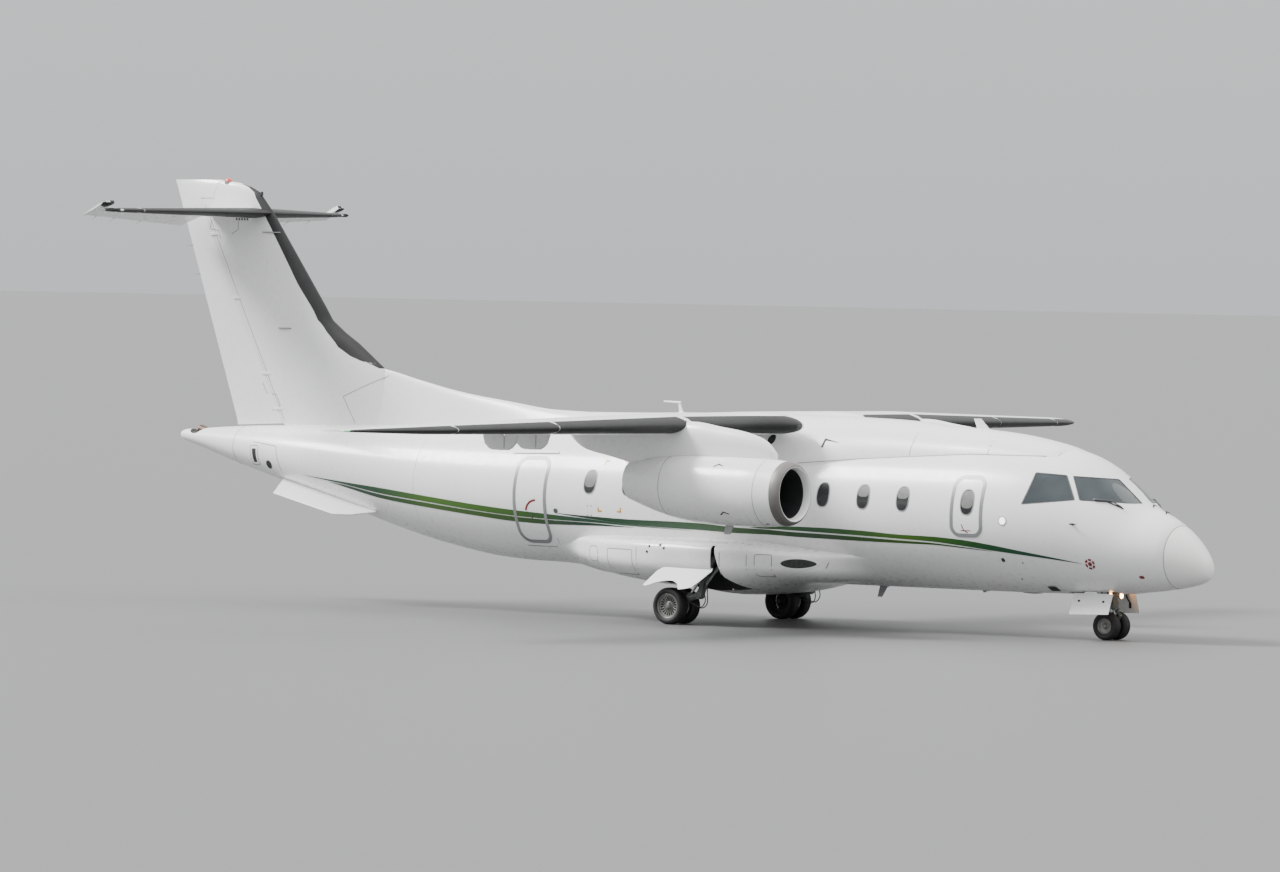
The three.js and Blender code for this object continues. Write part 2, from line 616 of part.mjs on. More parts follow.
function buildEngines(wingRoom) {
  const outer = NACELLE.slice(0, NACELLE_OUTSIDE);
  const barrel = nacelleTurn(NACELLE);
  placePair('nacelle', barrel, white);

  const nacelleRoom = loft(outer.map(([x, radius]) => nacelleRing(x, radius + ROOM)));
  const pylonRings = PYLON.map(([x, half, top, bottom]) => {
    const edge = Math.min(half, 60);
    const shoulder = top - edge * 0.25;
    const crest = [[1, top - edge], [0.6, shoulder], [0, top], [-0.6, shoulder], [-1, top - edge]];
    return [[1, bottom], ...crest, [-1, bottom]].map(([share, z]) => [x, ENGINE_Y + share * half, z]);
  });
  placePair('pylon', without(loft(pylonRings), [nacelleRoom, wingRoom]), white);

  // core: one block carried by four struts in the duct, with the exhaust cone behind
  const duct = NACELLE.slice(NACELLE_OUTSIDE);
  const ductRoom = loft(duct.map(([x, radius]) => nacelleRing(x, radius - FIT)));
  const core = loft(CORE.map(([x, radius]) => nacelleRing(x, radius, 20)));
  const { rear, front, half, reach } = STRUTS;
  const strutZ = nacelleAxis((rear + front) / 2);
  const struts = [[half, reach], [reach, half]].map(([dy, dz]) => (
    box(rear, front, ENGINE_Y - dy, ENGINE_Y + dy, strutZ - dz, strutZ + dz)));
  const shaftZ = nacelleAxis(FAN.x);
  const coreFront = CORE[CORE.length - 1][0];
  const shaft = bar([coreFront - 60, ENGINE_Y, shaftZ], [FAN.x, ENGINE_Y, shaftZ], FAN.shaft);
  placePair('engine', joined([core, ...struts.map((s) => s.intersect(ductRoom)), shaft]), bareMetal);

  // fan: hub with a pointed spinner and pitched blades, bored for the shaft
  const hub = loft(SPINNER.map(([ahead, radius]) => Array.from({ length: 16 }, (_, i) => {
    const t = (i / 16) * Math.PI * 2;
    return [FAN.x + ahead, ENGINE_Y + radius * Math.cos(t), shaftZ + radius * Math.sin(t)];
  })));
  const blades = Array.from({ length: FAN.blades }, (_, i) => {
    const turn = (i / FAN.blades) * Math.PI * 2;
    const ring = (radius, pitch) => [[-1, -1], [1, -1], [1, 1], [-1, 1]].map(([along, thick]) => {
      const chordPart = along * FAN.chord / 2;
      const thickPart = thick * FAN.bladeHalf;
      const dx = chordPart * Math.cos(pitch) - thickPart * Math.sin(pitch);
      const dt = chordPart * Math.sin(pitch) + thickPart * Math.cos(pitch);
      return [
        FAN.x + dx,
        ENGINE_Y + radius * Math.cos(turn) - dt * Math.sin(turn),
        shaftZ + radius * Math.sin(turn) + dt * Math.cos(turn),
      ];
    });
    return loft([ring(FAN.hub - 25, FAN.pitch), ring(FAN.tip - 6, FAN.pitch)]);
  });
  const bore = bar([FAN.x - 120, ENGINE_Y, shaftZ], [FAN.x + FIT, ENGINE_Y, shaftZ], FAN.shaft + 3);
  placePair('fan', without(joined([hub, ...blades]), [bore]), bareMetal);
}

// Fin, rudder and T-tail
const rudderX = (z) => RUDDER.bottomX + RUDDER.lean * (z - RUDDER.bottom);

function buildTail() {
  const whole = finLoft();
  const hingeLow = [rudderX(RUDDER_FOOT_Z), 0, RUDDER_FOOT_Z];
  const hingeHigh = [rudderX(RUDDER_HORN_Z), 0, RUDDER_HORN_Z];
  const [r0, r1] = noseRadii((z) => finHalf(z, rudderX(z)), RUDDER_FOOT_Z, RUDDER_HORN_Z);
  const bodyTop = (x) => lookUp(BODY, x, 2);
  const rudderFoot = [[rudderX(3045), bodyTop(-8110) + 22], [-9400, bodyTop(-9200) + 22]];
  const behind = (shift) => (
    [[rudderX(2700) + shift, 2700], [rudderX(7500) + shift, 7500], [-11500, 7500], [-11500, 2700]]);
  const horn = (grow) => {
    const [x, z] = [RUDDER.hornX + grow, RUDDER_HORN_Z - 2 * grow];
    return sidePrism([[x, z], [x, 7400], [-10700, 7400], [-10700, z]], -300, 300);
  };
  const [footFront, footRear] = rudderFoot;
  const aboveFoot = [[-7000, footFront[1]], footFront, footRear, [-11500, footRear[1]],
    [-11500, 7600], [-7000, 7600]];
  const trimTo = (solid, side) => solid.intersect(sidePrism(side, -400, 400));
  const leaf = [behind(0), aboveFoot].reduce(trimTo, whole);
  const nose = bar(hingeLow, hingeHigh, r0, r1, NOSE_SIDES);
  const noseFoot = box(-12000, 0, -300, 300, footFront[1], 7400);
  place('rudder', joined([leaf, nose.intersect(noseFoot), whole.intersect(horn(0))]), white());

  const slabs = RUDDER.brackets.map((z) => (
    box(rudderX(z) - 500, rudderX(z) + 500, -300, 300, z - 30, z + 30)));
  const keepOut = joined([
    hingeBay(hingeLow, hingeHigh, r0, r1, sidePrism(behind(r1 * 0.35), -400, 400), slabs),
    horn(END_GAP),
  ]);
  const tailRoom = tailLoft(ROOM);
  const dorsal = loft(DORSAL.map(([x, top, half]) => Array.from({ length: 9 }, (_, i) => {
    const t = (i / 8) * Math.PI;
    const rise = Math.sin(t);
    return [x, half * Math.cos(t) * (1 - 0.45 * rise), DORSAL_BASE + (top - DORSAL_BASE) * rise];
  })));
  const fixed = without(whole.add(dorsal), [keepOut, body(ROOM), tailRoom]);
  place('fin', without(fixed, [box(-12000, 0, -500, 500, TAIL_Z - FIT / 2, 8000)]), white());
  place('fin_tip', without(fixed, [box(-12000, 0, -1500, 1500, 2000, TAIL_Z + FIT / 2)]), white());

  // tailplane and elevators
  const tail = tailLoft(0);
  const { x, y0, y1 } = ELEVATOR;
  const [e0, e1] = noseRadii((y) => tailHalf(y, x), y0, y1);
  const aft = planPrism([[x + e1 * 0.35, y0], [x + e1 * 0.35, y1], [-11000, y1], [-11000, y0]], 6400, 6950);
  const tip = box(-11000, -9000, y1 - 5, 3400, 6400, 6950);
  const brackets = ELEVATOR.brackets.map((y) => box(x - 200, x + 200, y - 20, y + 20, 6400, 6950));
  const bay = joined([hingeBay([x, y0, TAIL_Z], [x, y1, TAIL_Z], e0, e1, aft, brackets), tip]);
  const centre = box(-11000, x - 40, -y0 - 1, y0 + 1, 6400, 6950);
  place('tailplane', without(tail, [bay, mirrored(bay), centre]), white());

  const noseEnd = lerp(e0, e1, END_GAP / (y1 - y0));
  const elevatorNose = bar([x, y0 + END_GAP, TAIL_Z], [x, y1, TAIL_Z], noseEnd, e1, NOSE_SIDES);
  const flat = box(-11000, x, y0 + END_GAP, y1 + 5, 6400, 6950);
  const hornBox = box(-11000, -9000, y1 + 5, 3400, 6400, 6950);
  const elevator = joined([tail.intersect(flat), elevatorNose, tail.intersect(hornBox)]);
  for (const [name, solid] of [['elevator_left', elevator], ['elevator_right', mirrored(elevator)]]) {
    const droop = new THREE.Group();
    droop.position.set(x, 0, TAIL_Z);
    droop.rotation.y = -ELEVATOR_DROOP;
    const mesh = place(name, solid, white(), droop);
    mesh.geometry.translate(-x, 0, -TAIL_Z);
    aircraft.add(droop);
  }
}

// Landing gear fairings on the belly, with an open bay for each main leg
function sponsonLoft(inset) {
  return loft(SPONSON.map(([x, outer, bottom, widest, top]) => Array.from({ length: 24 }, (_, i) => {
    const t = (i / 24) * Math.PI * 2;
    const [c, s] = [Math.cos(t), Math.sin(t)];
    const bend = (v) => Math.sign(v) * Math.abs(v) ** (2 / SPONSON_POWER);
    const height = (s > 0 ? top - widest : widest - bottom) - inset;
    return [x, (outer - inset) * bend(c), widest + height * bend(s)];
  })));
}

function buildSponsons() {
  const whole = without(sponsonLoft(0), [body(ROOM)]);
  const { rear, door, doorEnd, front, inner, roof } = GEAR_BAY;
  const openings = [
    box(rear, door + 10, inner, 1840, 300, roof),
    box(door - FIT, front, inner, 2200, 300, GEAR_DOOR.fold),
    box(door - FIT, doorEnd + FIT, inner, 1868, 300, roof),
    box(doorEnd, front, inner, 2200, 300, roof),
  ];
  const shell = without(sponsonLoft(0), [sponsonLoft(GEAR_DOOR.thick)]);
  const { fold, top, thick } = GEAR_DOOR;
  const panelFrame = (grow) => (
    box(door - grow, doorEnd + grow, 1180 - grow, 2200, fold - grow, top + grow));
  const seat = without(sponsonLoft(-5), [sponsonLoft(thick + FIT)]).intersect(panelFrame(FIT));
  const portBlock = box(-2000, 6000, SPONSON_SPLIT_Y, 2200, 300, 1800);
  const bellyHalf = SPONSON_SPLIT_Y - FIT;
  placePair('sponson', without(whole.intersect(portBlock), [...openings, seat]), white);
  place('belly_fairing', whole.intersect(box(-2000, 6000, -bellyHalf, bellyHalf, 300, 1000)), white());

  // upper panel flush with the fairing, lower panel flared out over the outer wheel
  const upper = without(shell.intersect(panelFrame(0)), [body(ROOM)]);
  const outline = [[1370, 955], [1190, 880], [975, 640], [1040, 625], [1230, 690], [1440, 725],
    [1560, 725], [1650, 685], [1700, 590], [1950, 630], [2080, 730], [2275, 905], [2275, 955]];
  const flare = (z) => 1850 + (955 - z) * 0.45;
  const lower = loft([0, 26].map((out) => outline.map(([x, z]) => [x, flare(z) + out, z])));
  placePair('main_gear_door', upper.add(lower), white);
}

// Wheels: a tyre turned about y, and hubs joined by their axle
const WHEEL_SIDES = 20;
const AXLE_SIDES = 24;

function tyre(axle, { radius, width, rim }, y) {
  const half = width / 2;
  const shoulder = radius - 0.22 * (radius - rim);
  const profile = [[rim, -half * 0.72], [shoulder, -half], [radius, -half * 0.5], [radius, half * 0.5],
    [shoulder, half], [rim, half * 0.72], [rim, -half * 0.72]];
  const turned = new THREE.LatheGeometry(profile.map(([r, h]) => new THREE.Vector2(r, h)), WHEEL_SIDES);
  turned.translate(0, y, 0);
  turned.translate(axle.x, axle.y, axle.z);
  return solidOf(turned);
}

function hubs(axle, { width, rim, spacing }, axleRadius) {
  const [y0, y1] = [axle.y - spacing / 2, axle.y + spacing / 2];
  const half = width * 0.36;
  const onAxle = (from, to, ...radii) => bar([axle.x, from, axle.z], [axle.x, to, axle.z], ...radii);
  const disc = (y, out) => {
    const barrel = onAxle(y - half, y + half, rim - FIT, rim - FIT, WHEEL_SIDES);
    const dish = onAxle(y + out * half * 0.25, y + out * (half + 5), rim * 0.5, rim * 0.86, 12);
    const cap = onAxle(y, y + out * half * 0.95, rim * 0.3, rim * 0.24, 8);
    return without(barrel, [dish]).add(cap);
  };
  return joined([disc(y0, -1), disc(y1, 1), onAxle(y0, y1, axleRadius, axleRadius, AXLE_SIDES)]);
}

const MAIN_AXLE_RADIUS = 35;
const NOSE_AXLE_RADIUS = 26;

function buildMainGear() {
  const { x, y, z } = MAIN_AXLE;
  for (const [name, offset] of [['outer', MAIN_TYRE.spacing / 2], ['inner', -MAIN_TYRE.spacing / 2]]) {
    placePair(`main_tyre_${name}`, tyre(MAIN_AXLE, MAIN_TYRE, offset), tyreRubber);
  }
  placePair('main_wheel_hubs', hubs(MAIN_AXLE, MAIN_TYRE, MAIN_AXLE_RADIUS), bareMetal);
  const knee = [1850, y - 20, 520];
  const leg = joined([
    bar([2060, y - 170, GEAR_BAY.roof - FIT], [knee[0] - 20, knee[1], 470], 62, 56, 12),
    bar([knee[0] - 30, knee[1] + 14, 500], [x, y, z], 50, 40, 10),
    bar([x, y - 32, z], [x, y + 32, z], 78, 78, 12),
    bar([2420, y - 120, GEAR_BAY.roof - FIT], [knee[0], knee[1] - 10, 560], 24, 24, 8),
  ]);
  const axleHole = MAIN_AXLE_RADIUS + 2 * FIT;
  const trimmed = without(leg, [
    bar([x, y - 60, z], [x, y + 60, z], axleHole, axleHole, AXLE_SIDES),
    box(0, 3000, 1000, 2000, GEAR_BAY.roof - FIT, 1600),
  ]);
  placePair('main_gear_leg', trimmed, gearPaint);
}

const NOSE_STEER_X = 8830;
// ahead of the steering axis, height
const TORQUE_LINK = [[35, 470], [35, 510], [130, 400], [35, 260], [20, 300], [90, 400]];

function buildNoseGear() {
  const { x, z } = NOSE_AXLE;
  for (const [name, side] of [['left', 1], ['right', -1]]) {
    place(`nose_tyre_${name}`, tyre(NOSE_AXLE, NOSE_TYRE, side * NOSE_TYRE.spacing / 2), tyreRubber());
  }
  place('nose_wheel_hubs', hubs(NOSE_AXLE, NOSE_TYRE, NOSE_AXLE_RADIUS), bareMetal());
  const collar = 560;
  const roof = NOSE_BAY.roof - FIT;
  const leg = joined([
    bar([NOSE_STEER_X, 0, collar + FIT], [NOSE_STEER_X, 0, roof], 62, 62, 12),
    bar([NOSE_STEER_X, 0, collar + FIT], [NOSE_STEER_X, 0, collar + 70], 84),
    bar([NOSE_STEER_X - 20, 0, 760], [8260, 0, roof - 20], 26, 26, 8),
    box(NOSE_STEER_X - 30, NOSE_STEER_X + 30, -210, 210, 690, 730),
  ]);
  place('nose_gear_leg', without(leg, [box(8000, 9200, -300, 300, roof, 1400)]), gearPaint());
  const fork = joined([
    bar([NOSE_STEER_X, 0, collar], [NOSE_STEER_X, 0, collar - 60], 84),
    bar([NOSE_STEER_X, 0, collar - 20], [NOSE_STEER_X, 0, z], 42, 42, 12),
    bar([x, -38, z], [x, 38, z], 58, 58, 12),
    sidePrism(TORQUE_LINK.map(([ahead, height]) => [NOSE_STEER_X + ahead, height]), -22, 22),
  ]);
  const axleHole = NOSE_AXLE_RADIUS + 2 * FIT;
  const hole = bar([x, -80, z], [x, 80, z], axleHole, axleHole, AXLE_SIDES);
  place('nose_gear_fork', without(fork, [hole]), gearPaint());

  // doors hang open beside the leg
  const lean = (zz) => 300 + (780 - zz) * 0.3;
  const outline = [[8210, 420], [8940, 420], [8940, 800], [8210, 800]];
  const panel = loft([0, 22].map((out) => outline.map(([px, pz]) => [px, lean(pz) + out, pz])));
  placePair('nose_gear_door', without(panel, [body(ROOM)]), white);
}

// Ventral strakes, splayed out under the rear fuselage
function buildStrakes() {
  const root = [[-5660, 600, 1660], [-7770, 330, 2160]];
  const tip = [[-7560, 760, 1880], [-6250, 985, 1545], [-5560, 720, 1600]];
  const corners = [root[0], root[1], tip[0], tip[1], tip[2]];
  const across = [0, 0.42, 0.9];
  const plate = loft([-14, 14].map((out) => corners.map((p) => p.map((v, i) => v + across[i] * out))));
  placePair('ventral_strake', without(plate, [body(ROOM)]), white);
}

const wingRoom = wingLoft(ROOM);
buildFuselage(wingRoom);
buildPanes();
buildFlightDeck();
buildHump(wingRoom);
buildWing();
buildEngines(wingRoom);
buildTail();
buildSponsons();
buildMainGear();
buildNoseGear();
buildStrakes();

export default aircraft;
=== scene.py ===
import math

import bmesh
import bpy
import numpy as np
from mathutils import Matrix, Vector


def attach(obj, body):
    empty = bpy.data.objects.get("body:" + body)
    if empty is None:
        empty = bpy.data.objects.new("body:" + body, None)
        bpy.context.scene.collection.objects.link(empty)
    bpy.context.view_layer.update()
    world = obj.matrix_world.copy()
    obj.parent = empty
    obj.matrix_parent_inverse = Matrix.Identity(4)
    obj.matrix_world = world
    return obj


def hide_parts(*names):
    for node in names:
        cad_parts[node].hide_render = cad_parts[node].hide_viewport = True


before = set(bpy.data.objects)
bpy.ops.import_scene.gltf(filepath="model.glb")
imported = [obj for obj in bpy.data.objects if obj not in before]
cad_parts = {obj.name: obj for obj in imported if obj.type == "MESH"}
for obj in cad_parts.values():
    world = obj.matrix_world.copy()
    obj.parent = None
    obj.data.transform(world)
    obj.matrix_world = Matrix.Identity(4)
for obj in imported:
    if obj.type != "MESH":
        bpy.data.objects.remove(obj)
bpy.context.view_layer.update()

# The viewpoint: a long lens ahead of the starboard wing, 129 m off and about 6 m above the
# ground, held almost level.
azimuth, elevation, roll = (math.radians(angle) for angle in (35.70205, 1.25237, 0.94932))
AIM_ACROSS, AIM_HEIGHT, EYE_DISTANCE, LENS_LENGTH = -0.464908, 3.029103, 129.1006, 217.805
towards_eye = Vector((math.sin(azimuth) * math.cos(elevation),
                      -math.cos(azimuth) * math.cos(elevation), math.sin(elevation)))
level = Vector((math.cos(azimuth), math.sin(azimuth), 0))
upright = towards_eye.cross(level)
image_right = level * math.cos(roll) + upright * math.sin(roll)
image_up = upright * math.cos(roll) - level * math.sin(roll)
eye = level * AIM_ACROSS + Vector((0, 0, AIM_HEIGHT)) + towards_eye * EYE_DISTANCE
camera = bpy.data.objects.new("camera", bpy.data.cameras.new("camera"))
bpy.context.scene.collection.objects.link(camera)
camera_axes = Matrix((image_right, image_up, towards_eye)).transposed()
camera.matrix_world = Matrix.Translation(eye) @ camera_axes.to_4x4()
camera.data.sensor_width = 36
camera.data.lens = LENS_LENGTH
camera.data.clip_start, camera.data.clip_end = 1, 2000
bpy.context.scene.camera = camera

# The studio: a pale matt floor that runs out of sight under a soft light that is brightest
# overhead, with one broad lamp high on the camera's left and a weaker one on its right.
FLOOR_HALF = 900
floor_corners = [(sx * FLOOR_HALF, sy * FLOOR_HALF, 0) for sx, sy in ((-1, -1), (1, -1), (1, 1), (-1, 1))]
floor_mesh = bpy.data.meshes.new("floor")
floor_mesh.from_pydata(floor_corners, [], [(0, 1, 2, 3)])
floor = bpy.data.objects.new("floor", floor_mesh)
bpy.context.scene.collection.objects.link(floor)
pale_floor = bpy.data.materials.new("pale_floor")
pale_floor.use_nodes = True
floor_shader = pale_floor.node_tree.nodes["Principled BSDF"]
floor_shader.inputs["Base Color"].default_value = (0.12, 0.12, 0.122, 1)
floor_shader.inputs["Roughness"].default_value = 0.55
floor_mesh.materials.append(pale_floor)


def two_tones(ramp, low, low_colour, high, high_colour):
    """Sets the two stops of a colour ramp."""
    for stop, place, colour in zip(ramp.color_ramp.elements, (low, high), (low_colour, high_colour)):
        stop.position, stop.color = place, (*colour, 1)


sky = bpy.data.worlds.new("studio")
sky.use_nodes = True
sky_tree = sky.node_tree
sky_height = sky_tree.nodes.new("ShaderNodeSeparateXYZ")
sky_tones = sky_tree.nodes.new("ShaderNodeValToRGB")
two_tones(sky_tones, 0.0, (0.34, 0.345, 0.355), 0.75, (1.0, 1.0, 1.0))
sky_tree.links.new(sky_tree.nodes.new("ShaderNodeTexCoord").outputs["Generated"], sky_height.inputs[0])
sky_tree.links.new(sky_height.outputs["Z"], sky_tones.inputs[0])
sky_tree.links.new(sky_tones.outputs[0], sky_tree.nodes["Background"].inputs["Color"])
sky_tree.nodes["Background"].inputs["Strength"].default_value = 2.1
bpy.context.scene.world = sky
STUDIO_LAMPS = (("key_lamp", 6.4, 0.35, (0.9, 0.5, -1.0)), ("back_lamp", 0.8, 0.8, (-0.5, -0.6, -0.7)))
for lamp_name, strength, spread, aim in STUDIO_LAMPS:
    lamp = bpy.data.objects.new(lamp_name, bpy.data.lights.new(lamp_name, "SUN"))
    lamp.data.energy = strength
    lamp.data.angle = spread
    lamp.rotation_mode = "QUATERNION"
    lamp.rotation_quaternion = Vector(aim).to_track_quat("-Z", "Y")
    bpy.context.scene.collection.objects.link(lamp)

# The fuselage is a pressed aluminium tube of elliptical sections, riveted to frames, filled and
# painted gloss white. Sections: x, half width, crown, keel, in metres.
BODY = [
    (10.64, 0.006, 1.186, 1.174), (10.62, 0.115, 1.29, 1.08), (10.56, 0.21, 1.4, 1.005),
    (10.48, 0.29, 1.51, 0.96), (10.29, 0.43, 1.705, 0.905), (10.09, 0.545, 1.862, 0.865),
    (9.8, 0.68, 2.03, 0.82), (9.51, 0.795, 2.15, 0.785), (9.26, 0.88, 2.365, 0.755),
    (8.98, 0.965, 2.59, 0.738), (8.63, 1.045, 2.825, 0.725), (8.34, 1.105, 2.955, 0.717),
    (8.03, 1.15, 3.04, 0.711), (7.46, 1.198, 3.105, 0.704), (6.8, 1.215, 3.13, 0.7), (0, 1.215, 3.13, 0.7),
    (-1.0, 1.215, 3.13, 0.715), (-1.35, 1.213, 3.13, 0.775), (-1.6, 1.211, 3.13, 0.835),
    (-2.1, 1.206, 3.13, 0.862), (-2.6, 1.194, 3.13, 0.87), (-3.19, 1.175, 3.128, 0.905),
    (-4.3, 1.105, 3.115, 1.07), (-5.37, 1.0, 3.095, 1.315), (-6.15, 0.905, 3.075, 1.53),
    (-7.15, 0.765, 3.05, 1.82), (-8.16, 0.6, 3.02, 2.09), (-9.23, 0.38, 2.965, 2.38),
    (-10.02, 0.2, 2.91, 2.62), (-10.28, 0.13, 2.892, 2.69), (-10.37, 0.09, 2.868, 2.725),
    (-10.405, 0.04, 2.835, 2.765),
]
NOSE_TIP_X, RADOME_X, REAR_JOINT_X, CONE_JOINT_X, TAIL_END_X = 10.637, 10.08, -4.5, -8.92, -10.405
RING_POINTS = 80
WHITE, WARM_WHITE = (0.80, 0.805, 0.80), (0.74, 0.745, 0.735)


def smooth_curve(rows, column):
    """A curve through one column of a table against its first, with no overshoot."""
    rows = sorted(rows)
    xs = np.array([row[0] for row in rows], float)
    ys = np.array([row[column] for row in rows], float)
    gaps, slopes = np.diff(xs), np.diff(ys) / np.diff(xs)
    tangents = np.zeros_like(ys)
    tangents[0], tangents[-1] = slopes[0], slopes[-1]
    for i in range(1, len(xs) - 1):
        if slopes[i - 1] * slopes[i] > 0:
            near, far = 2 * gaps[i] + gaps[i - 1], gaps[i] + 2 * gaps[i - 1]
            tangents[i] = (near + far) / (near / slopes[i - 1] + far / slopes[i])

    def at(x):
        x = min(max(x, xs[0]), xs[-1])
        i = min(max(int(np.searchsorted(xs, x)) - 1, 0), len(gaps) - 1)
        t = (x - xs[i]) / gaps[i]
        return float((1 + 2 * t) * (1 - t) ** 2 * ys[i] + t * (1 - t) ** 2 * gaps[i] * tangents[i]
                     + t * t * (3 - 2 * t) * ys[i + 1] - t * t * (1 - t) * gaps[i] * tangents[i + 1])
    return at


def paint(name, colour, other, patch=2.0, rough=(0.2, 0.32), metal=0.0, coat=0.0, bump=0.0, grain=60.0,
          step=0.002):
    """A finish with slow colour patches, fine changes of gloss and a shallow relief."""
    material = bpy.data.materials.new(name)
    material.use_nodes = True
    tree = material.node_tree
    shader = tree.nodes["Principled BSDF"]
    place = tree.nodes.new("ShaderNodeTexCoord").outputs["Object"]
    slow, fine = tree.nodes.new("ShaderNodeTexNoise"), tree.nodes.new("ShaderNodeTexNoise")
    slow.inputs["Scale"].default_value, slow.inputs["Detail"].default_value = 1 / patch, 5
    fine.inputs["Scale"].default_value, fine.inputs["Detail"].default_value = grain, 3
    ramp = tree.nodes.new("ShaderNodeValToRGB")
    two_tones(ramp, 0.35, colour, 0.7, other)
    gloss = tree.nodes.new("ShaderNodeMapRange")
    gloss.inputs["From Min"].default_value, gloss.inputs["From Max"].default_value = 0.3, 0.7
    gloss.inputs["To Min"].default_value, gloss.inputs["To Max"].default_value = rough
    relief = tree.nodes.new("ShaderNodeBump")
    relief.inputs["Strength"].default_value, relief.inputs["Distance"].default_value = bump, step
    tree.links.new(place, slow.inputs["Vector"])
    tree.links.new(place, fine.inputs["Vector"])
    tree.links.new(slow.outputs[0], ramp.inputs[0])
    tree.links.new(ramp.outputs[0], shader.inputs["Base Color"])
    tree.links.new(fine.outputs[0], gloss.inputs["Value"])
    tree.links.new(gloss.outputs[0], shader.inputs["Roughness"])
    tree.links.new(fine.outputs[0], relief.inputs["Height"])
    tree.links.new(relief.outputs[0], shader.inputs["Normal"])
    shader.inputs["Metallic"].default_value = metal
    shader.inputs["Coat Weight"].default_value = coat
    shader.inputs["Coat Roughness"].default_value = 0.08
    return material


def piece(name, parts, material, body="airframe", stands_for=(), sharp=32, bevel=0.0):
    """One piece of the aircraft from lists of points and faces, riding on a body."""
    points, faces = [], []
    for part_points, part_faces in parts:
        start = len(points)
        points += [tuple(p) for p in part_points]
        faces += [tuple(i + start for i in face) for face in part_faces]
    mesh = bpy.data.meshes.new(name)
    mesh.from_pydata(points, [], faces)
    made = bpy.data.objects.new(name, mesh)
    bpy.context.scene.collection.objects.link(made)
    for one in material if isinstance(material, (list, tuple)) else [material]:
        mesh.materials.append(one)
    shade(mesh, sharp)
    if bevel:
        rounding = made.modifiers.new("rounded_edges", "BEVEL")
        rounding.width, rounding.segments, rounding.limit_method = bevel, 3, "ANGLE"
        rounding.angle_limit = math.radians(40)
        rounding.harden_normals = False
    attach(made, body)
    if stands_for:
        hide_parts(*stands_for)
    return made


def shade(mesh, sharp):
    """Faces turned outwards, shaded smooth except across edges sharper than the angle."""
    work = bmesh.new()
    work.from_mesh(mesh)
    bmesh.ops.remove_doubles(work, verts=work.verts, dist=2e-5)
    bmesh.ops.recalc_face_normals(work, faces=work.faces)
    for edge in work.edges:
        edge.smooth = not edge.is_manifold or edge.calc_face_angle(0) < math.radians(sharp)
    for face in work.faces:
        face.smooth = True
    work.to_mesh(mesh)
    work.free()


def cut(made, cutters, sharp=32, operation="DIFFERENCE"):
    """Cuts closed shapes out of a piece and shades it again."""
    tools = []
    for points, faces in cutters:
        mesh = bpy.data.meshes.new("cutter")
        mesh.from_pydata([tuple(p) for p in points], [], faces)
        shade(mesh, sharp)
        tool = bpy.data.objects.new("cutter", mesh)
        bpy.context.scene.collection.objects.link(tool)
        work = made.modifiers.new("cut", "BOOLEAN")
        work.operation, work.solver, work.object = operation, "EXACT", tool
        tools.append(tool)
    bpy.context.view_layer.update()
    mesh = bpy.data.meshes.new_from_object(made.evaluated_get(bpy.context.evaluated_depsgraph_get()))
    made.modifiers.clear()
    made.data = mesh
    for tool in tools:
        bpy.data.objects.remove(tool)
    shade(mesh, sharp)


def between_rings(count, pairs):
    """Faces between pairs of closed rings with `count` points each."""
    return [(a * count + i, a * count + (i + 1) % count, b * count + (i + 1) % count, b * count + i)
            for a, b in pairs for i in range(count)]


def loft(rings):
    """Skins rings of equal counts and closes both ends."""
    count, last = len(rings[0]), len(rings) - 1
    faces = between_rings(count, [(r, r + 1) for r in range(last)])
    ends = [tuple(range(count))[::-1], tuple(range(last * count, (last + 1) * count))]
    return [p for ring in rings for p in ring], faces + ends


def closed_wall(rings):
    """The wall of a tube, out along its outside and back inside: the last ring joins the first."""
    pairs = [(r, (r + 1) % len(rings)) for r in range(len(rings))]
    return [p for ring in rings for p in ring], between_rings(len(rings[0]), pairs)


def mirrored(part):
    """The same part on the starboard side."""
    return [(x, -y, z) for x, y, z in part[0]], [face[::-1] for face in part[1]]


def block(x0, x1, y0, y1, z0, z1):
    return loft([[(x0, y0, z), (x1, y0, z), (x1, y1, z), (x0, y1, z)] for z in (z0, z1)])


def side_prism(outline, y0, y1):
    """A plate cut to a side view, between two distances from the centre line."""
    return loft([[(x, y, z) for x, z in outline] for y in (y0, y1)])


def rounded_frame(x0, x1, z0, z1, radius, steps=8, spacing=0.09):
    """Points round a rectangle with rounded corners; its straight sides are divided too."""
    corners = ((x1, z1, -1, -1, 0), (x0, z1, 1, -1, 1), (x0, z0, 1, 1, 2), (x1, z0, -1, 1, 3))
    arcs = [[(x + sx * radius + radius * math.cos((turn + i / steps) * math.pi / 2),
              z + sz * radius + radius * math.sin((turn + i / steps) * math.pi / 2))
              for i in range(steps + 1)]
            for x, z, sx, sz, turn in corners]
    outline = []
    for arc, following in zip(arcs, arcs[1:] + arcs[:1]):
        (xa, za), (xb, zb) = arc[-1], following[0]
        count = math.ceil(math.hypot(xb - xa, zb - za) / spacing)
        outline += arc + [(xa + (xb - xa) * k / count, za + (zb - za) * k / count) for k in range(1, count)]
    return outline


half_width, crown, keel = (smooth_curve(BODY, column) for column in (1, 2, 3))


def middle_and_reach(x):
    """Height of the section's middle at x, and its reach up and down from there."""
    return (crown(x) + keel(x)) / 2, (crown(x) - keel(x)) / 2


def depth_share(x, y, z):
    """1 on the skin, less inside it."""
    middle, reach = middle_and_reach(x)
    return (y / half_width(x)) ** 2 + ((z - middle) / reach) ** 2


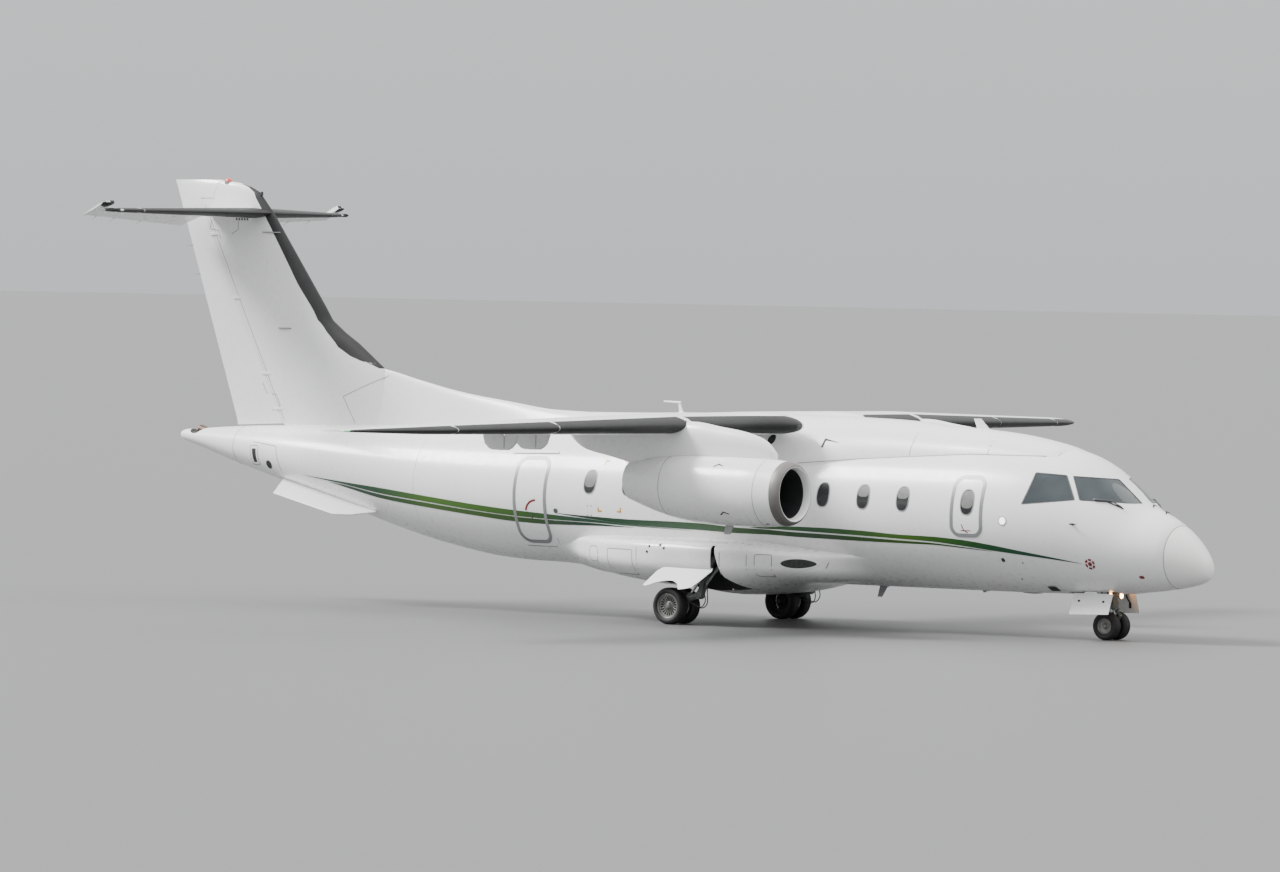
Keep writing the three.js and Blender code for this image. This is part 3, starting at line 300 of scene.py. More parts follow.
def skin(x, z, side, out=0.0):
    """The point of the cabin's skin at height z, moved outwards a little."""
    middle, reach = middle_and_reach(x)
    height = max(-1.0, min(1.0, (z - middle) / (reach + out)))
    return x, side * (half_width(x) + out) * math.sqrt(1 - height * height), z


def skin_normal(x, z, side):
    """The direction straight out of the skin."""
    middle, reach = middle_and_reach(x)
    return Vector((0, skin(x, z, side)[1] / half_width(x) ** 2, (z - middle) / reach ** 2)).normalized()


def full_turn(count):
    """Angles once round a circle."""
    return [2 * math.pi * i / count for i in range(count)]


def skin_ring(x, out=0.0):
    """The fuselage's section at x."""
    middle, reach = middle_and_reach(x)
    return [(x, (half_width(x) + out) * math.cos(t), middle + (reach + out) * math.sin(t))
            for t in full_turn(RING_POINTS)]


def tube(x_from, x_to, spacing=0.14, groove=0.005, ends=(True, True)):
    """A length of the fuselage, with a fine chamfer at each joint."""
    count = max(2, round(abs(x_from - x_to) / spacing))
    step = (x_to - x_from) / count
    stations = [(x_from, -groove if ends[0] else 0.0)]
    if ends[0]:
        stations.append((x_from + math.copysign(groove, step), 0.0))
    stations += [(x_from + step * i, 0.0) for i in range(1, count)]
    if ends[1]:
        stations.append((x_to - math.copysign(groove, step), 0.0))
    stations.append((x_to, -groove if ends[1] else 0.0))
    return loft([skin_ring(x, out) for x, out in stations])


gloss_white = paint("gloss_white", WHITE, WARM_WHITE, patch=2.4, rough=(0.24, 0.36), coat=0.2, bump=0.05,
                    grain=9, step=0.004)
cabin_lining = paint("cabin_lining", (0.42, 0.40, 0.37), (0.36, 0.345, 0.32), patch=0.5, rough=(0.6, 0.8),
                     bump=0.2, grain=300)
fuselage = piece("fuselage_skin", [tube(RADOME_X, REAR_JOINT_X)], [gloss_white, cabin_lining],
                 stands_for=["fuselage"])

# Doorways in the side are recesses with a lining; the flight deck is a room behind four panes;
# the nose wheels fold into a box in the belly. Doors: side, x, x, sill, head, corner radius.
DOORWAYS = {
    "passenger_door": (1, 6.38, 7.14, 1.2, 2.8, 0.09),
    "baggage_door": (1, -3.56, -2.64, 1.3, 2.6, 0.09),
    "service_door": (-1, 6.46, 7.055, 1.61, 2.58, 0.17),
    "rear_exit_door": (-1, -2.3, -1.63, 1.21, 2.65, 0.19),
}
PANES = {
    "front_window": ((8.469, 0.719, 2.627), (8.974, 0.143, 2.584), (9.432, 0.139, 2.197),
                     (8.715, 0.9, 2.244)),
    "side_window": ((7.861, 0.875, 2.668), (8.378, 0.756, 2.636), (8.637, 0.93, 2.249), (7.77, 1.147, 2.159)),
}
ROOM_BACK, ROOM_FRONT, ROOM_FLOOR, ROOM_WALL = 7.74, 9.33, 1.9, 0.06
BAY_BACK, BAY_FRONT, BAY_HALF, BAY_ROOF = 8.15, 9.06, 0.28, 1.15


def pane_outline(corners, grow=0.0):
    """Points round a pane in its own square coordinates, with rounded corners."""
    edge = grow / (Vector(corners[1]) - Vector(corners[0])).length
    return rounded_frame(-edge, 1 + edge, -edge, 1 + edge, 0.035 + edge, 6)


def on_pane(corners, u, v, side, out):
    """A point of the pane's square, laid on the skin along the line of sight."""
    a, b, c, d = (Vector(corner) for corner in corners)
    start = a.lerp(b, u).lerp(d.lerp(c, u), v)
    sight = Vector((towards_eye.x, -towards_eye.y, towards_eye.z))
    near, far = -0.3, 1.0
    for _ in range(18):
        spot = start + sight * (near + far) / 2
        if depth_share(*spot) < 1:
            near = (near + far) / 2
        else:
            far = (near + far) / 2
    middle, reach = middle_and_reach(spot.x)
    wide = half_width(spot.x)
    turn = math.atan2((spot.z - middle) / reach, spot.y / wide)
    return spot.x, side * (wide + out) * math.cos(turn), middle + (reach + out) * math.sin(turn)


def pane_ring(corners, side, grow, out):
    """The pane's edge on the skin, grown a little and moved outwards."""
    return [on_pane(corners, u, v, side, out) for u, v in pane_outline(corners, grow)]


def room_ring(x):
    """The flight deck in section: its flat floor, and walls and roof that follow the skin."""
    middle, reach = middle_and_reach(x)
    wide, high = half_width(x) - ROOM_WALL, reach - ROOM_WALL
    low = math.asin(max(-0.95, min(0.95, (ROOM_FLOOR - middle) / high)))
    turns = (low + (math.pi - 2 * low) * i / 40 for i in range(41))
    return [(x, wide * math.cos(t), middle + high * math.sin(t)) for t in turns]


cutters = [loft([room_ring(ROOM_BACK + (ROOM_FRONT - 0.16 - ROOM_BACK) * i / 10) for i in range(11)])]
for corners in PANES.values():
    for side in (1, -1):
        cutters.append(loft([pane_ring(corners, side, 0.002, out) for out in (-0.13, -0.06, 0.0, 0.06, 0.2)]))
for side, x0, x1, z0, z1, radius in DOORWAYS.values():
    if side == 1:
        cutters.append(side_prism(rounded_frame(x0, x1, z0, z1, radius), 0.48, 1.5))
cutters.append(block(BAY_BACK, BAY_FRONT, -BAY_HALF, BAY_HALF, 0.3, BAY_ROOF))
cut(fuselage, cutters)
for face in fuselage.data.polygons:
    face.material_index = int(depth_share(*face.center) < 0.965 and -4.4 < face.center.x < 10)

# Behind it come the laminated tail section and the tail cone, with the auxiliary engine's exhaust
# in a notch in its top; in front is the glass fibre radome. Each meets the next in a fine joint.
piece("rear_fuselage_skin", [tube(REAR_JOINT_X - 0.001, CONE_JOINT_X + 0.001)], gloss_white,
      stands_for=["rear_fuselage"])
radome_white = paint("radome_white", (0.79, 0.79, 0.775), (0.76, 0.76, 0.745), patch=0.6, rough=(0.26, 0.36),
                     bump=0.04, grain=25)
nose_steps = [(RADOME_X + 0.001, -0.005), (RADOME_X + 0.006, 0.0)]
nose_steps += [(RADOME_X + (NOSE_TIP_X - RADOME_X) * (1 - (1 - i / 18) ** 1.8), 0.0) for i in range(1, 19)]
piece("radome_shell", [loft([skin_ring(x, out) for x, out in nose_steps])], radome_white,
      stands_for=["radome"])
soot = paint("sooty_metal", (0.05, 0.05, 0.052), (0.09, 0.088, 0.085), patch=0.08, rough=(0.5, 0.75),
             metal=0.6, bump=0.15, grain=120)
cone = piece("tail_cone_skin", [tube(CONE_JOINT_X - 0.001, TAIL_END_X, 0.03, ends=(True, False))],
             [gloss_white, soot], stands_for=["tail_cone"])


def rod(a, b, radius_a, radius_b=None, sides=24):
    """A round bar from one point to another, which may taper."""
    a, b = Vector(a), Vector(b)
    axis = (b - a).normalized()
    across = Vector((0, 1, 0)) if abs(axis.x) > 0.8 else Vector((1, 0, 0))
    u = (across - axis * across.dot(axis)).normalized()
    v = axis.cross(u)
    ends = ((a, radius_a), (b, radius_a if radius_b is None else radius_b))
    return loft([[tuple(centre + u * radius * math.cos(t) + v * radius * math.sin(t))
                  for t in full_turn(sides)]
                 for centre, radius in ends])


notch = [(-9.8, 3.1), (-9.8, 2.93), (-9.87, 2.88), (-9.95, 2.828), (-10.04, 2.822), (-10.11, 2.85),
         (-10.165, 2.9), (-10.18, 3.1)]
cut(cone, [side_prism(notch, -0.4, 0.4), rod((-9.5, 0, 2.76), (-10.0, 0, 2.86), 0.1, sides=40)])
for face in cone.data.polygons:
    x, y, z = face.center
    face.material_index = int(-10.19 < x < -9.45 and z > 2.6 and depth_share(x, y, z) < 0.93)
burnt_metal = paint("burnt_exhaust", (0.16, 0.105, 0.08), (0.085, 0.062, 0.052), patch=0.06,
                    rough=(0.35, 0.55), metal=0.85, bump=0.12, grain=90)
exhaust_axis = [Vector((-9.53, 0, 2.79)), Vector((-9.77, 0, 2.83)), Vector((-10.0, 0, 2.895))]
exhaust_walls = [[tuple(spot + Vector((0.2 * r * math.sin(t), r * math.cos(t), r * math.sin(t))))
                  for t in full_turn(36)]
                 for spot, r in [(s, 0.082) for s in exhaust_axis]
                 + [(s, 0.072) for s in reversed(exhaust_axis)]]
piece("tail_exhaust_pipe", [closed_wall(exhaust_walls)], burnt_metal)

# Painted stripes: bands of green that swell and fade to points along both sides. Where one
# crosses a door it is cut at the gap. Each row: x, lower edge, upper edge.
STRIPES = {
    "upper_rear": [(-7.13, 2.182, 2.184), (-6.18, 2.064, 2.103), (-5.27, 1.93, 2.027), (-4.16, 1.82, 1.917),
                   (-3.2, 1.722, 1.822),
                   (-2.31, 1.65, 1.749), (-1.62, 1.618, 1.706), (-0.7, 1.594, 1.645), (0.17, 1.555, 1.575),
                   (1.32, 1.523, 1.525)],
    "lower_rear": [(-6.53, 2.088, 2.091), (-6.2, 2.024, 2.056), (-5.3, 1.85, 1.918), (-4.19, 1.728, 1.806),
                   (-3.2, 1.632, 1.71),
                   (-2.33, 1.557, 1.64), (-1.64, 1.531, 1.608), (-0.71, 1.539, 1.583), (0.17, 1.532, 1.535)],
    "upper_front": [(2.5, 1.618, 1.62), (2.8, 1.603, 1.637), (3.1, 1.602, 1.655), (3.35, 1.594, 1.66),
                    (3.9, 1.579, 1.658),
                    (4.69, 1.556, 1.638), (5.46, 1.529, 1.598), (6.04, 1.507, 1.588), (6.68, 1.452, 1.55),
                    (7.21, 1.396, 1.486), (7.72, 1.346, 1.408), (8.23, 1.295, 1.33), (8.77, 1.236, 1.239)],
    "lower_front": [(-1.45, 1.726, 1.729), (-0.69, 1.65, 1.694), (0.18, 1.577, 1.667), (1.0, 1.548, 1.661),
                    (1.5, 1.537, 1.652),
                    (2.28, 1.512, 1.603), (2.8, 1.51, 1.593), (3.1, 1.502, 1.579), (3.35, 1.492, 1.569),
                    (3.9, 1.48, 1.557),
                    (4.69, 1.466, 1.532), (5.46, 1.458, 1.504), (6.04, 1.454, 1.484), (6.66, 1.418, 1.437),
                    (7.2, 1.384, 1.388)],
}
GREENS = [(-6.8, (0.003, 0.04, 0.026)), (-5.4, (0.004, 0.06, 0.016)), (-4.2, (0.05, 0.15, 0.004)),
          (-2.3, (0.034, 0.12, 0.004)),
          (-1.0, (0.003, 0.05, 0.02)), (0.6, (0.004, 0.066, 0.016)), (2.5, (0.018, 0.1, 0.005)),
          (3.8, (0.004, 0.068, 0.014)),
          (5.6, (0.05, 0.14, 0.004)), (7.2, (0.004, 0.075, 0.018)), (8.4, (0.003, 0.047, 0.035))]


def slab(outer, inner):
    """A closed thin plate between two grids of points."""
    rows, cols = len(outer), len(outer[0])
    points = [p for row in outer for p in row] + [p for row in inner for p in row]
    under = rows * cols
    faces = []
    for r in range(rows - 1):
        for c in range(cols - 1):
            a = r * cols + c
            faces += [(a, a + 1, a + cols + 1, a + cols),
                      (under + a, under + a + cols, under + a + cols + 1, under + a + 1)]
    edge = list(range(cols)) + [r * cols + cols - 1 for r in range(1, rows)]
    edge += [(rows - 1) * cols + c for c in range(cols - 2, -1, -1)]
    edge += [r * cols for r in range(rows - 2, 0, -1)]
    faces += [(a, b, under + b, under + a) for a, b in zip(edge, edge[1:] + edge[:1])]
    return points, faces


def band(rows, x_from, x_to, side, out=0.003, thick=0.004, across=4):
    """A painted band on the skin between two stations."""
    low, high = smooth_curve(rows, 1), smooth_curve(rows, 2)
    count = max(1, math.ceil((x_to - x_from) / 0.09))
    grids = []
    for reach in (out, out - thick):
        grids.append([[skin(x, low(x) + (high(x) - low(x)) * k / across, side, reach)
                       for k in range(across + 1)]
                      for x in (x_from + (x_to - x_from) * i / count for i in range(count + 1))])
    return slab(*grids)


def striped(name, share_of_colour):
    """Green that changes along the fuselage."""
    material = paint(name, (0, 0, 0), (0, 0, 0), rough=(0.3, 0.42), coat=0.1, bump=0.03, grain=12)
    tree = material.node_tree
    ramp = next(n for n in tree.nodes if n.type == "VALTORGB")
    along, share = tree.nodes.new("ShaderNodeSeparateXYZ"), tree.nodes.new("ShaderNodeMapRange")
    share.inputs["From Min"].default_value, share.inputs["From Max"].default_value = -7.2, 8.8
    tree.links.new(next(n for n in tree.nodes if n.type == "TEX_COORD").outputs["Object"], along.inputs[0])
    tree.links.new(along.outputs["X"], share.inputs["Value"])
    tree.links.new(share.outputs[0], ramp.inputs[0])
    for i, (x, colour) in enumerate(GREENS):
        stop = ramp.color_ramp.elements[i] if i < 2 else ramp.color_ramp.elements.new(0.99)
        stop.position, stop.color = (x + 7.2) / 16.0, (*[c * share_of_colour for c in colour], 1)
    return material


stripe_green, stripe_dark = striped("stripe_green", 0.75), striped("stripe_dark_green", 0.55)
SIDES = ((1, "left"), (-1, "right"))
for side, hand in SIDES:
    doors = sorted((d[1], d[2], name) for name, d in DOORWAYS.items() if d[0] == side == 1)
    lengths = {"airframe": []}
    for stripe, rows in STRIPES.items():
        start, end = rows[0][0], rows[-1][0]
        for x0, x1, name in doors:
            if start < x0 < end:
                lengths["airframe"].append((stripe, start, x0 - 0.001))
                lengths.setdefault(name, []).append((stripe, x0 + 0.006, min(x1 - 0.006, end)))
                start = x1 + 0.001
        if start < end:
            lengths["airframe"].append((stripe, start, end))
    for body, stretches in lengths.items():
        name = f"stripes_{hand}" if body == "airframe" else f"stripes_on_{body}"
        for tone, green in (("upper", stripe_green), ("lower", stripe_dark)):
            bands = [band(STRIPES[stripe], a, b, side) for stripe, a, b in stretches
                     if stripe.startswith(tone)]
            if bands:
                piece(f"{tone}_{name}", bands, green, body)

# Cabin windows: oval double panes in a slim metal rim, set flush in the skin with the blinds
# part down. They sit one frame apart; two of them are in doors.
WINDOWS = [(-0.737, 2.27), (0.05, 2.262), (0.837, 2.255), (1.624, 2.245), (2.411, 2.23), (3.198, 2.215),
           (3.96, 2.2), (4.745, 2.19), (5.517, 2.18)]
WINDOW_HALF_X, WINDOW_HALF_Z, SERVICE_WINDOW = 0.113, 0.192, (6.765, 2.165)


def oval(x, z, half_x, half_z, count=40, power=2.5):
    """Points round an oval; a higher power makes it squarer."""
    bend = lambda v: math.copysign(abs(v) ** (2 / power), v)
    return [(x + half_x * bend(math.cos(t)), z + half_z * bend(math.sin(t))) for t in full_turn(count)]


def skin_disc(outline, side, out, thick, rings=4, inner=None, at=skin):
    """A closed plate of any outline, bent to a surface; `inner` sets the depth of its back."""
    count = len(outline)
    cx, cz = ((min(p[k] for p in outline) + max(p[k] for p in outline)) / 2 for k in (0, 1))
    points = []
    for reach in (out, out - thick if inner is None else inner):
        points.append(at(cx, cz, side, reach))
        for r in range(1, rings + 1):
            points += [at(cx + (x - cx) * r / rings, cz + (z - cz) * r / rings, side, reach)
                       for x, z in outline]
    size = 1 + rings * count
    faces = []
    for start in (0, size):
        for i in range(count):
            j = (i + 1) % count
            faces.append((start, start + 1 + i, start + 1 + j))
            for r in range(rings - 1):
                a = start + 1 + r * count
                faces.append((a + i, a + count + i, a + count + j, a + j))
    rim = 1 + (rings - 1) * count
    faces += [(rim + i, rim + (i + 1) % count, size + rim + (i + 1) % count, size + rim + i)
              for i in range(count)]
    return points, faces


def skin_rim(outline, width, side, out, thick, at=skin):
    """A flat rim laid on a surface along the inside of an outline."""
    inner = []
    for (xa, za), (x, z), (xb, zb) in zip(outline[-1:] + outline[:-1], outline, outline[1:] + outline[:1]):
        run = math.hypot(xb - xa, zb - za)
        inner.append((x - (zb - za) / run * width, z + (xb - xa) / run * width))
    return closed_wall([[at(x, z, side, reach) for x, z in loop] for loop, reach in
                        ((inner, out), (outline, out), (outline, out - thick), (inner, out - thick))])


# The cabin panes are opaque and near black: painted shade for the dim cabin behind them.
cabin_glass_painted_shade = paint("cabin_glass_painted_shade", (0.007, 0.008, 0.009), (0.014, 0.015, 0.016), patch=0.25,
                    rough=(0.16, 0.28), coat=0.1, bump=0.0)
blind_cloth = paint("window_blind", (0.15, 0.15, 0.147), (0.12, 0.12, 0.117), patch=0.1, rough=(0.35, 0.5),
                    coat=0.1, bump=0.05, grain=200)
grey_rim = paint("grey_rim", (0.25, 0.258, 0.266), (0.2, 0.207, 0.214), patch=0.2, rough=(0.32, 0.46),
                 metal=0.3, bump=0.05, grain=90)
for side, hand in SIDES:
    panes = [oval(x, z, WINDOW_HALF_X, WINDOW_HALF_Z) for x, z in WINDOWS]
    rims = [oval(x, z, WINDOW_HALF_X + 0.014, WINDOW_HALF_Z + 0.014) for x, z in WINDOWS]
    piece(f"cabin_windows_{hand}", [skin_disc(o, side, 0.003, 0.008) for o in panes], cabin_glass_painted_shade)
    piece(f"cabin_window_rims_{hand}", [skin_rim(o, 0.016, side, 0.006, 0.008) for o in rims], grey_rim)
    blinds = [oval(x, z + 0.09, WINDOW_HALF_X - 0.008, WINDOW_HALF_Z - 0.1, power=3.2)
              for x, z in WINDOWS[7:]]
    last_x, last_z = WINDOWS[0]
    blinds.append(oval(last_x, last_z + 0.045, WINDOW_HALF_X - 0.008, WINDOW_HALF_Z - 0.055, power=3.2))
    if side < 0:
        blinds.append(oval(SERVICE_WINDOW[0], SERVICE_WINDOW[1] + 0.04, WINDOW_HALF_X - 0.004,
                           WINDOW_HALF_Z - 0.05, power=3.2))
    piece(f"window_blinds_{hand}", [skin_disc(o, side, 0.0056, 0.007) for o in blinds], blind_cloth)

# Doors are pressed skins on a stiff back, with the cabin's own curve. The passenger door hangs on
# its sill and carries the steps on its back; the baggage door hangs on its head. The other two
# are plugs without hinges. Gaps: at the sides, below, above.
door_back = paint("door_back", (0.5, 0.49, 0.46), (0.44, 0.43, 0.41), patch=0.4, rough=(0.5, 0.7), bump=0.15,
                  grain=220)
seal_grey = paint("door_seal", (0.045, 0.047, 0.05), (0.08, 0.08, 0.085), patch=0.1, rough=(0.5, 0.7),
                  bump=0.1, grain=200)
warning_red = paint("handle_red", (0.19, 0.007, 0.009), (0.14, 0.006, 0.007), patch=0.1, rough=(0.25, 0.4),
                    bump=0.02)
LEAF_GAPS = {"passenger_door": (0.005, 0.0005, 0.01), "baggage_door": (0.005, 0.01, 0.009),
             "service_door": (0.004, 0.004, 0.004), "rear_exit_door": (0.004, 0.004, 0.004)}
for name, (side, x0, x1, z0, z1, radius) in DOORWAYS.items():
    gap, low_gap, high_gap = LEAF_GAPS[name]
    opens = side == 1
    body = name if opens else "airframe"
    leaf = rounded_frame(x0 + gap, x1 - gap, z0 + low_gap, z1 - high_gap,
                         radius + 0.01 if opens else radius - gap)
    shell = piece(f"{name}_leaf",
                  [skin_disc(leaf, side, 0.0005 if opens else 0.002, 0, 9,
                             inner=-0.045 if opens else -0.004)],
                  [gloss_white, door_back], body, stands_for=[name])
    if opens:
        for face in shell.data.polygons:
            x, y, z = face.center
            face.material_index = int(abs(y) < abs(skin(x, z, side, -0.03)[1]))
    if name == "passenger_door":
        steps = []
        for i in range(5):
            z = 1.37 + 0.29 * i
            depth = abs(skin(6.76, z, 1, -0.045)[1])
            steps.append(block(6.47, 7.05, depth - 0.13, depth + 0.012, z, z + 0.028))
            steps.append(block(6.47, 7.05, depth - 0.02, depth + 0.012, z + 0.028, z + 0.1))
        for x in (6.45, 7.05):
            outline = [(abs(skin(x, z, 1, -0.05)[1]), z) for z in np.linspace(1.3, 2.65, 12)]
            steps.append(loft([[(x, y - 0.15, z), (x + 0.02, y - 0.15, z), (x + 0.02, y, z), (x, y, z)]
                               for y, z in outline]))
        piece("door_steps", steps, grey_rim, body, bevel=0.003)
    if opens:
        spot = ((x0 + x1) / 2, z0 + 0.72)
        piece(f"{name}_handle", [skin_disc(oval(*spot, 0.07, 0.03, 24, 4), side, 0.004, 0.006),
                                 skin_rim(oval(*spot, 0.085, 0.045, 24, 4), 0.014, side, 0.006, 0.006)],
              grey_rim, body)
    else:
        rim = rounded_frame(x0 - 0.012, x1 + 0.012, z0 - 0.012, z1 + 0.012, radius + 0.012)
        piece(f"{name}_frame", [skin_rim(rim, 0.06, side, 0.006, 0.008)], grey_rim)
# The service door's pane is the same near-black glass, painted shade for the cabin behind it.
piece("service_door_window", [skin_disc(oval(*SERVICE_WINDOW, 0.118, 0.198), -1, 0.0045, 0.008)], cabin_glass_painted_shade)
piece("service_door_window_rim", [skin_rim(oval(*SERVICE_WINDOW, 0.132, 0.212), 0.016, -1, 0.008, 0.008)],
      grey_rim)
gutter = [(-2.5, 2.7, 2.725), (-1.56, 2.72, 2.745)]
piece("rear_door_gutter", [band(gutter, gutter[0][0], gutter[1][0], -1, 0.018, 0.02, 2)], gloss_white)


def arc_strip(cx, cz, radius, width, turn0, turn1, side, out=0.005, thick=0.004, steps=12):
    """A painted arc on the skin."""
    turns = [turn0 + (turn1 - turn0) * i / steps for i in range(steps + 1)]
    grids = [[[skin(cx + r * math.cos(t), cz + r * math.sin(t), side, reach)
               for r in (radius, radius + width)] for t in turns]
             for reach in (out, out - thick)]
    return slab(*grids)


handle_marks = [arc_strip(-1.84, 1.72, 0.19, 0.034, math.pi * 0.5, math.pi * 0.95, -1),
                band([(6.66, 1.70, 1.712), (6.84, 1.70, 1.712)], 6.66, 6.84, -1, 0.005),
                arc_strip(6.84, 1.83, 0.16, 0.014, math.pi * 1.05, math.pi * 1.4, -1)]
piece("door_handle_marks", handle_marks, warning_red)
piece("door_handles", [skin_disc(oval(-1.94, 1.66, 0.012, 0.05, 16), -1, 0.008, 0.008),
                       skin_disc(oval(-1.42, 1.765, 0.045, 0.04, 20, 2), -1, 0.006, 0.006)],
      seal_grey)

# Flight deck panes are laminated glass about 18 mm thick in black sealant, with wipers parked
# at their feet; behind them are seats, a console and the instrument panel under its hood.
flight_glass = bpy.data.materials.new("flight_deck_glass")
flight_glass.use_nodes = True
glass_tree = flight_glass.node_tree
glass_shader = glass_tree.nodes["Principled BSDF"]
glass_noise = glass_tree.nodes.new("ShaderNodeTexNoise")
glass_noise.inputs["Scale"].default_value = 2.2
glass_ramp = glass_tree.nodes.new("ShaderNodeValToRGB")
two_tones(glass_ramp, 0.35, (0.016, 0.026, 0.032), 0.65, (0.036, 0.05, 0.056))
glass_tree.links.new(glass_tree.nodes.new("ShaderNodeTexCoord").outputs["Object"],
                     glass_noise.inputs["Vector"])
glass_tree.links.new(glass_noise.outputs[0], glass_ramp.inputs[0])
glass_tree.links.new(glass_ramp.outputs[0], glass_shader.inputs["Base Color"])
glass_shader.inputs["Roughness"].default_value = 0.03
glass_shader.inputs["Alpha"].default_value = 0.85
glass_shader.inputs["Coat Weight"].default_value = 0.3
glass_shader.inputs["Coat Roughness"].default_value = 0.02
for name, corners in PANES.items():
    on_this = lambda u, v, side, out, corners=corners: on_pane(corners, u, v, side, out)
    for side, hand in SIDES:
        glass = skin_disc(pane_outline(corners, -0.0005), side, -0.004, 0.018, 6, at=on_this)
        seal = closed_wall([pane_ring(corners, side, grow, reach) for grow, reach in
                            ((-0.012, 0.001), (0.006, 0.001), (0.006, -0.005), (-0.012, -0.005))])
        piece(f"{name}_glass_{hand}", [glass], flight_glass, stands_for=[f"{name}_{hand}"])
        piece(f"{name}_seal_{hand}", [seal], seal_grey)

deck_grey = paint("deck_grey", (0.12, 0.125, 0.13), (0.09, 0.092, 0.095), patch=0.2, rough=(0.55, 0.75),
                  bump=0.3, grain=250)
seat_cloth = paint("seat_fleece", (0.36, 0.29, 0.2), (0.28, 0.22, 0.15), patch=0.08, rough=(0.85, 0.95),
                   bump=0.7, grain=400, step=0.004)
panel = [(8.56, 1.93), (9.06, 1.93), (9.13, 2.12), (8.9, 2.24), (8.6, 2.25), (8.62, 2.2)]
deck = [block(7.76, 9.1, -0.72, 0.72, 1.9, 1.93), block(8.2, 8.6, -0.13, 0.13, 1.93, 2.06),
        side_prism(panel, -0.62, 0.62)]
piece("flight_deck_floor", deck, deck_grey, stands_for=["flight_deck"], bevel=0.012)
for side, hand in SIDES:
    y = 0.43 * side
    seat = [block(7.84, 8.27, y - 0.22, y + 0.22, 1.99, 2.08),
            side_prism([(7.8, 1.99), (7.93, 1.99), (7.87, 2.5), (7.78, 2.5)], y - 0.21, y + 0.21),
            block(7.79, 7.86, y - 0.12, y + 0.12, 2.5, 2.62)]
    column = [rod((8.42, y, 1.93), (8.36, y, 2.16), 0.02),
              rod((8.36, y - 0.12, 2.16), (8.36, y + 0.12, 2.16), 0.016)]
    piece(f"pilot_seat_{hand}", seat, seat_cloth, bevel=0.03)
    piece(f"seat_base_{hand}", [block(7.9, 8.2, y - 0.12, y + 0.12, 1.93, 1.99)] + column, deck_grey,
          bevel=0.006)
screen_glass = paint("screen_glass", (0.01, 0.03, 0.05), (0.02, 0.06, 0.06), patch=0.05, rough=(0.08, 0.15),
                     bump=0.0)
screens = [block(8.612, 8.622, y - 0.085, y + 0.085, 2.0, 2.17) for y in (-0.5, -0.28, 0.0, 0.28, 0.5)]
piece("instrument_screens", screens, screen_glass, bevel=0.004)
WIPER_MARKS = ((8.93, 2.25, 0.02), (9.16, 2.215, 0.04), (9.31, 2.13, 0.03), (9.1, 2.225, 0.012),
               (9.33, 2.12, 0.012))


def wiper(side):
    """A short arm and its blade, parked along the foot of a front pane. Marks: x, z, lift."""
    foot, elbow, tip, blade_a, blade_b = (Vector(skin(x, z, side)) + skin_normal(x, z, side) * lift
                                          for x, z, lift in WIPER_MARKS)
    away = skin_normal(foot.x, foot.z, side)
    return [rod(foot, elbow, 0.017, 0.014, 10), rod(elbow, tip, 0.012, 0.009, 10),
            rod(blade_a, blade_b, 0.011, 0.011, 8), rod(foot - away * 0.03, foot + away * 0.015, 0.022,
                    0.018, 14)]


piece("windscreen_wipers", wiper(1) + wiper(-1), seal_grey)

# The wing is one bonded metal box across the roof, with sheared tips. Its trailing edge is cut
# away for the flaps and ailerons. Sections: y, leading edge, trailing edge, heights, thickness.
WING = [
    (0, 2.6, 0.42, 3.3, 3.215, 0.37), (0.7, 2.7, 0.42, 3.3, 3.215, 0.37),
    (0.95, 3.4, 0.42, 3.3, 3.215, 0.37), (1.2, 3.44, 0.42, 3.3, 3.215, 0.37),
    (1.55, 3.13, 0.42, 3.302, 3.215, 0.362), (1.9, 2.95, 0.42, 3.302, 3.215, 0.355),
    (3.4, 2.86, 0.42, 3.302, 3.21, 0.345), (3.9, 2.7933, 0.4472, 3.297, 3.2104, 0.3279),
    (8.6, 2.1667, 0.7028, 3.25, 3.2146, 0.1671), (9.1, 2.1, 0.73, 3.245, 3.215, 0.15),
    (9.6, 1.885, 0.78, 3.24, 3.216, 0.112), (10.0, 1.64, 0.83, 3.236, 3.218, 0.078),
    (10.3, 1.45, 0.87, 3.232, 3.22, 0.05), (10.49, 1.31, 0.9, 3.23, 3.222, 0.026),
]
WING_CAMBER = 0.018
wing_curves = [smooth_curve(WING, column) for column in range(1, 6)]
deicer_black = paint("deicer_boot_black", (0.006, 0.006, 0.007), (0.012, 0.012, 0.013), patch=0.3,
                     rough=(0.5, 0.68), bump=0.08, grain=80)


def half_section(f):
    """Half the thickness of a symmetrical wing section, at a share f of its chord."""
    return 5 * (0.2969 * math.sqrt(max(f, 0)) - 0.126 * f - 0.3516 * f ** 2 + 0.2843 * f ** 3
                - 0.1015 * f ** 4)


def wing_skin(y, x, sign, out=0.0):
    """Height of the wing's upper (+1) or lower (-1) skin, or of its mid surface (0)."""
    le, te, z_le, z_te, thick = (curve(abs(y)) for curve in wing_curves)
    f = min(max((le - x) / (le - te), 0), 1)
    middle = z_le + (z_te - z_le) * f + 4 * WING_CAMBER * f * (1 - f) * (le - te)
    return middle + sign * (half_section(f) * thick + out)


def chord_ring(le, te, point, steps=26):
    """A whole section from the trailing edge round the nose and back."""
    xs = [le + (te - le) * (1 - math.cos(math.pi * i / steps)) / 2 for i in range(steps + 1)]
    return [point(x, 1) for x in reversed(xs)] + [point(x, -1) for x in xs[1:]]


def wing_ring(y):
    """The wing's section at y."""
    return chord_ring(wing_curves[0](abs(y)), wing_curves[1](abs(y)),
                      lambda x, sign: (x, y, wing_skin(y, x, sign)))


